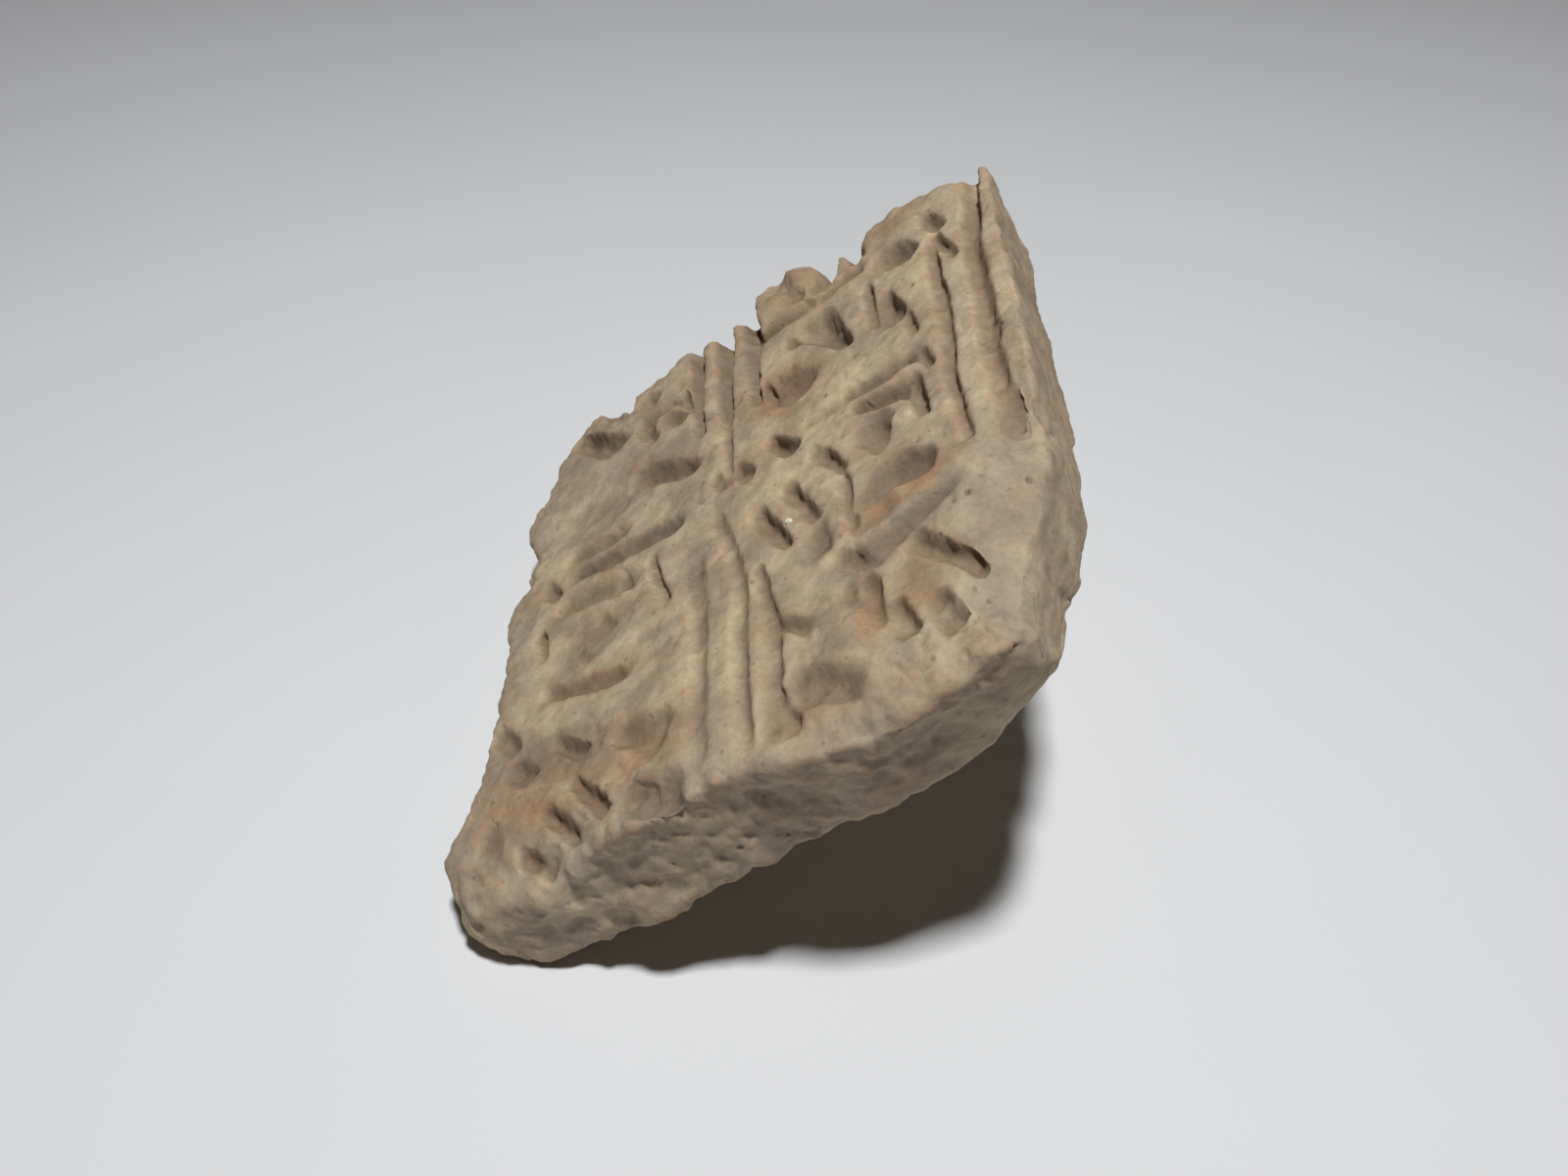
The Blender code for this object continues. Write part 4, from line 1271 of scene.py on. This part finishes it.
@dataclass(frozen=True)
class Quartz:
    """A milky grain of quartz sand. The stains' size is in mm."""

    milk: Colour = (0.86, 0.85, 0.80)
    stain: Colour = (0.62, 0.55, 0.42)
    stain_size: float = 0.4
    contrast: float = 3.0
    roughness: Span = (0.25, 0.12)

    def make(self, effects: Effects) -> bpy.types.Material:
        """Builds the material.

        Args:
            effects: The shared effects.

        Returns:
            The quartz.
        """
        material, sheet, shader = new_material("quartz")
        place = sheet.add("ShaderNodeTexCoord").outputs["Object"]
        feeds = {"Place": place, "Size": self.stain_size, "Contrast": self.contrast}
        cloud = sheet.placed(effects.mottle, feeds).outputs[0]
        sheet.link(sheet.blend(cloud, (*self.milk, 1), (*self.stain, 1)), shader, "Base Color")
        sheet.link(sheet.sum("MULTIPLY_ADD", cloud, *self.roughness), shader, "Roughness")
        return material


@dataclass(frozen=True)
class TablePaint:
    """The matte, very pale paint of the table. The size of its clouds is in mm."""

    light: Colour = (0.76, 0.775, 0.79)
    dark: Colour = (0.72, 0.735, 0.75)
    cloud_size: float = 60.0
    contrast: float = 1.0
    roughness: float = 0.85
    shine: float = 0.2

    def make(self, effects: Effects) -> bpy.types.Material:
        """Builds the material.

        Args:
            effects: The shared effects.

        Returns:
            The paint.
        """
        material, sheet, shader = new_material("table_paint")
        place = sheet.add("ShaderNodeTexCoord").outputs["Object"]
        feeds = {"Place": place, "Size": self.cloud_size, "Contrast": self.contrast}
        cloud = sheet.placed(effects.mottle, feeds).outputs[0]
        sheet.link(sheet.blend(cloud, (*self.light, 1), (*self.dark, 1)), shader, "Base Color")
        shader.inputs["Roughness"].default_value = self.roughness
        shader.inputs["Specular IOR Level"].default_value = self.shine
        return material


@dataclass
class QuartzGrain:
    """A grain of quartz sand that shows in the face, at a place in hundredths."""

    x: float = 7.0
    y: float = -11.0
    size: float = 0.42 * MM
    uneven: Span = (0.75, 1.1)
    squash: Place = (1.0, 0.75, 0.7)
    seed: int = 4

    def make(self, seal: Seal, material: bpy.types.Material) -> bpy.types.Object:
        """Builds the grain, half sunk in the clay.

        Args:
            seal: The stamp that it sits in.
            material: Its quartz.

        Returns:
            The grain.
        """
        grain = bmesh.new()
        bmesh.ops.create_icosphere(grain, subdivisions=2, radius=self.size)
        draws = np.random.default_rng(self.seed)
        for vertex in grain.verts:
            vertex.co *= float(draws.uniform(*self.uneven))
        grain.normal_update()
        bmesh.ops.scale(grain, vec=self.squash, verts=grain.verts)
        bmesh.ops.translate(grain, vec=seal.place_on_face(self.x, self.y), verts=grain.verts)
        mesh = bpy.data.meshes.new("quartz_grain")
        grain.to_mesh(mesh)
        grain.free()
        mesh.materials.append(material)
        piece = bpy.data.objects.new("quartz_grain", mesh)
        bpy.context.scene.collection.objects.link(piece)
        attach(piece, BODY)
        return piece


@dataclass
class Studio:
    """The pale table, the lamp, the faint light all round and the camera."""

    table_size: float = 6.0
    lens: float = 30.44
    sensor: float = 36.0
    pitch: float = math.radians(41.8)
    swing: float = 0.0236
    eye: Place = (4.13 * MM, -100.12 * MM, 103.46 * MM)
    key_place: Place = (0.012, -0.067, 0.42)
    key_aim: Place = (0.0, 0.0, 0.02)
    key_size: float = 0.04
    key_power: float = 1.65
    sky: Colour = (1.0, 0.82, 0.88)
    sky_strength: float = 0.022

    def lay_table(self, material: bpy.types.Material) -> bpy.types.Object:
        """Lays the table's top at the level that the stamp rests on.

        Args:
            material: Its paint.

        Returns:
            The table.
        """
        top = bmesh.new()
        bmesh.ops.create_grid(top, x_segments=2, y_segments=2, size=self.table_size / 2)
        mesh = bpy.data.meshes.new("table")
        top.to_mesh(mesh)
        top.free()
        mesh.materials.append(material)
        table = bpy.data.objects.new("table", mesh)
        bpy.context.scene.collection.objects.link(table)
        return table

    def light(self) -> None:
        """Sets the lamp, and the faint light all round."""
        lamp = bpy.data.lights.new("key_light", "AREA")
        lamp.energy = self.key_power
        lamp.size = self.key_size
        key = bpy.data.objects.new("key_light", lamp)
        key.location = self.key_place
        key.rotation_euler = (Vector(self.key_aim) - key.location).to_track_quat("-Z", "Y").to_euler()
        bpy.context.scene.collection.objects.link(key)
        world = bpy.data.worlds.new("soft_light")
        world.use_nodes = True
        background = world.node_tree.nodes["Background"]
        background.inputs["Color"].default_value = (*self.sky, 1)
        background.inputs["Strength"].default_value = self.sky_strength
        bpy.context.scene.world = world

    def aim(self) -> bpy.types.Object:
        """Sets up the camera, looking down along the stamp."""
        level, down = math.cos(self.pitch), math.sin(self.pitch)
        ahead = Vector((-self.swing * level, math.sqrt(1 - self.swing**2) * level, -down))
        right = Vector((math.sqrt(1 - self.swing**2), self.swing, 0))
        lens = bpy.data.cameras.new("camera")
        lens.lens = self.lens
        lens.sensor_width = self.sensor
        lens.clip_start = 1 * MM
        camera = bpy.data.objects.new("camera", lens)
        turned = Matrix((right, right.cross(ahead), -ahead)).transposed().to_4x4()
        turned.translation = self.eye
        camera.matrix_world = turned
        bpy.context.scene.collection.objects.link(camera)
        bpy.context.scene.camera = camera
        bpy.context.scene.view_settings.view_transform = "Standard"
        return camera


def main() -> None:
    """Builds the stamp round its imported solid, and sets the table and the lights."""
    logging.basicConfig(level=logging.INFO, format="%(name)s: %(message)s")
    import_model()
    effects = Effects()
    plate = Plate()
    seal = Seal(plate, Carving(plate), Grip(plate), HandFinish(plate))
    piece = seal.make(FiredClay().make(effects))
    LOG.info("%s: %d triangles", piece.name, len(piece.data.polygons))
    grain = QuartzGrain().make(seal, Quartz().make(effects))
    LOG.info("%s: %d triangles", grain.name, len(grain.data.polygons))
    studio = Studio()
    studio.lay_table(TablePaint().make(effects))
    studio.light()
    studio.aim()
    LOG.info("table, lights and camera are set")


if __name__ == "__main__":
    main()
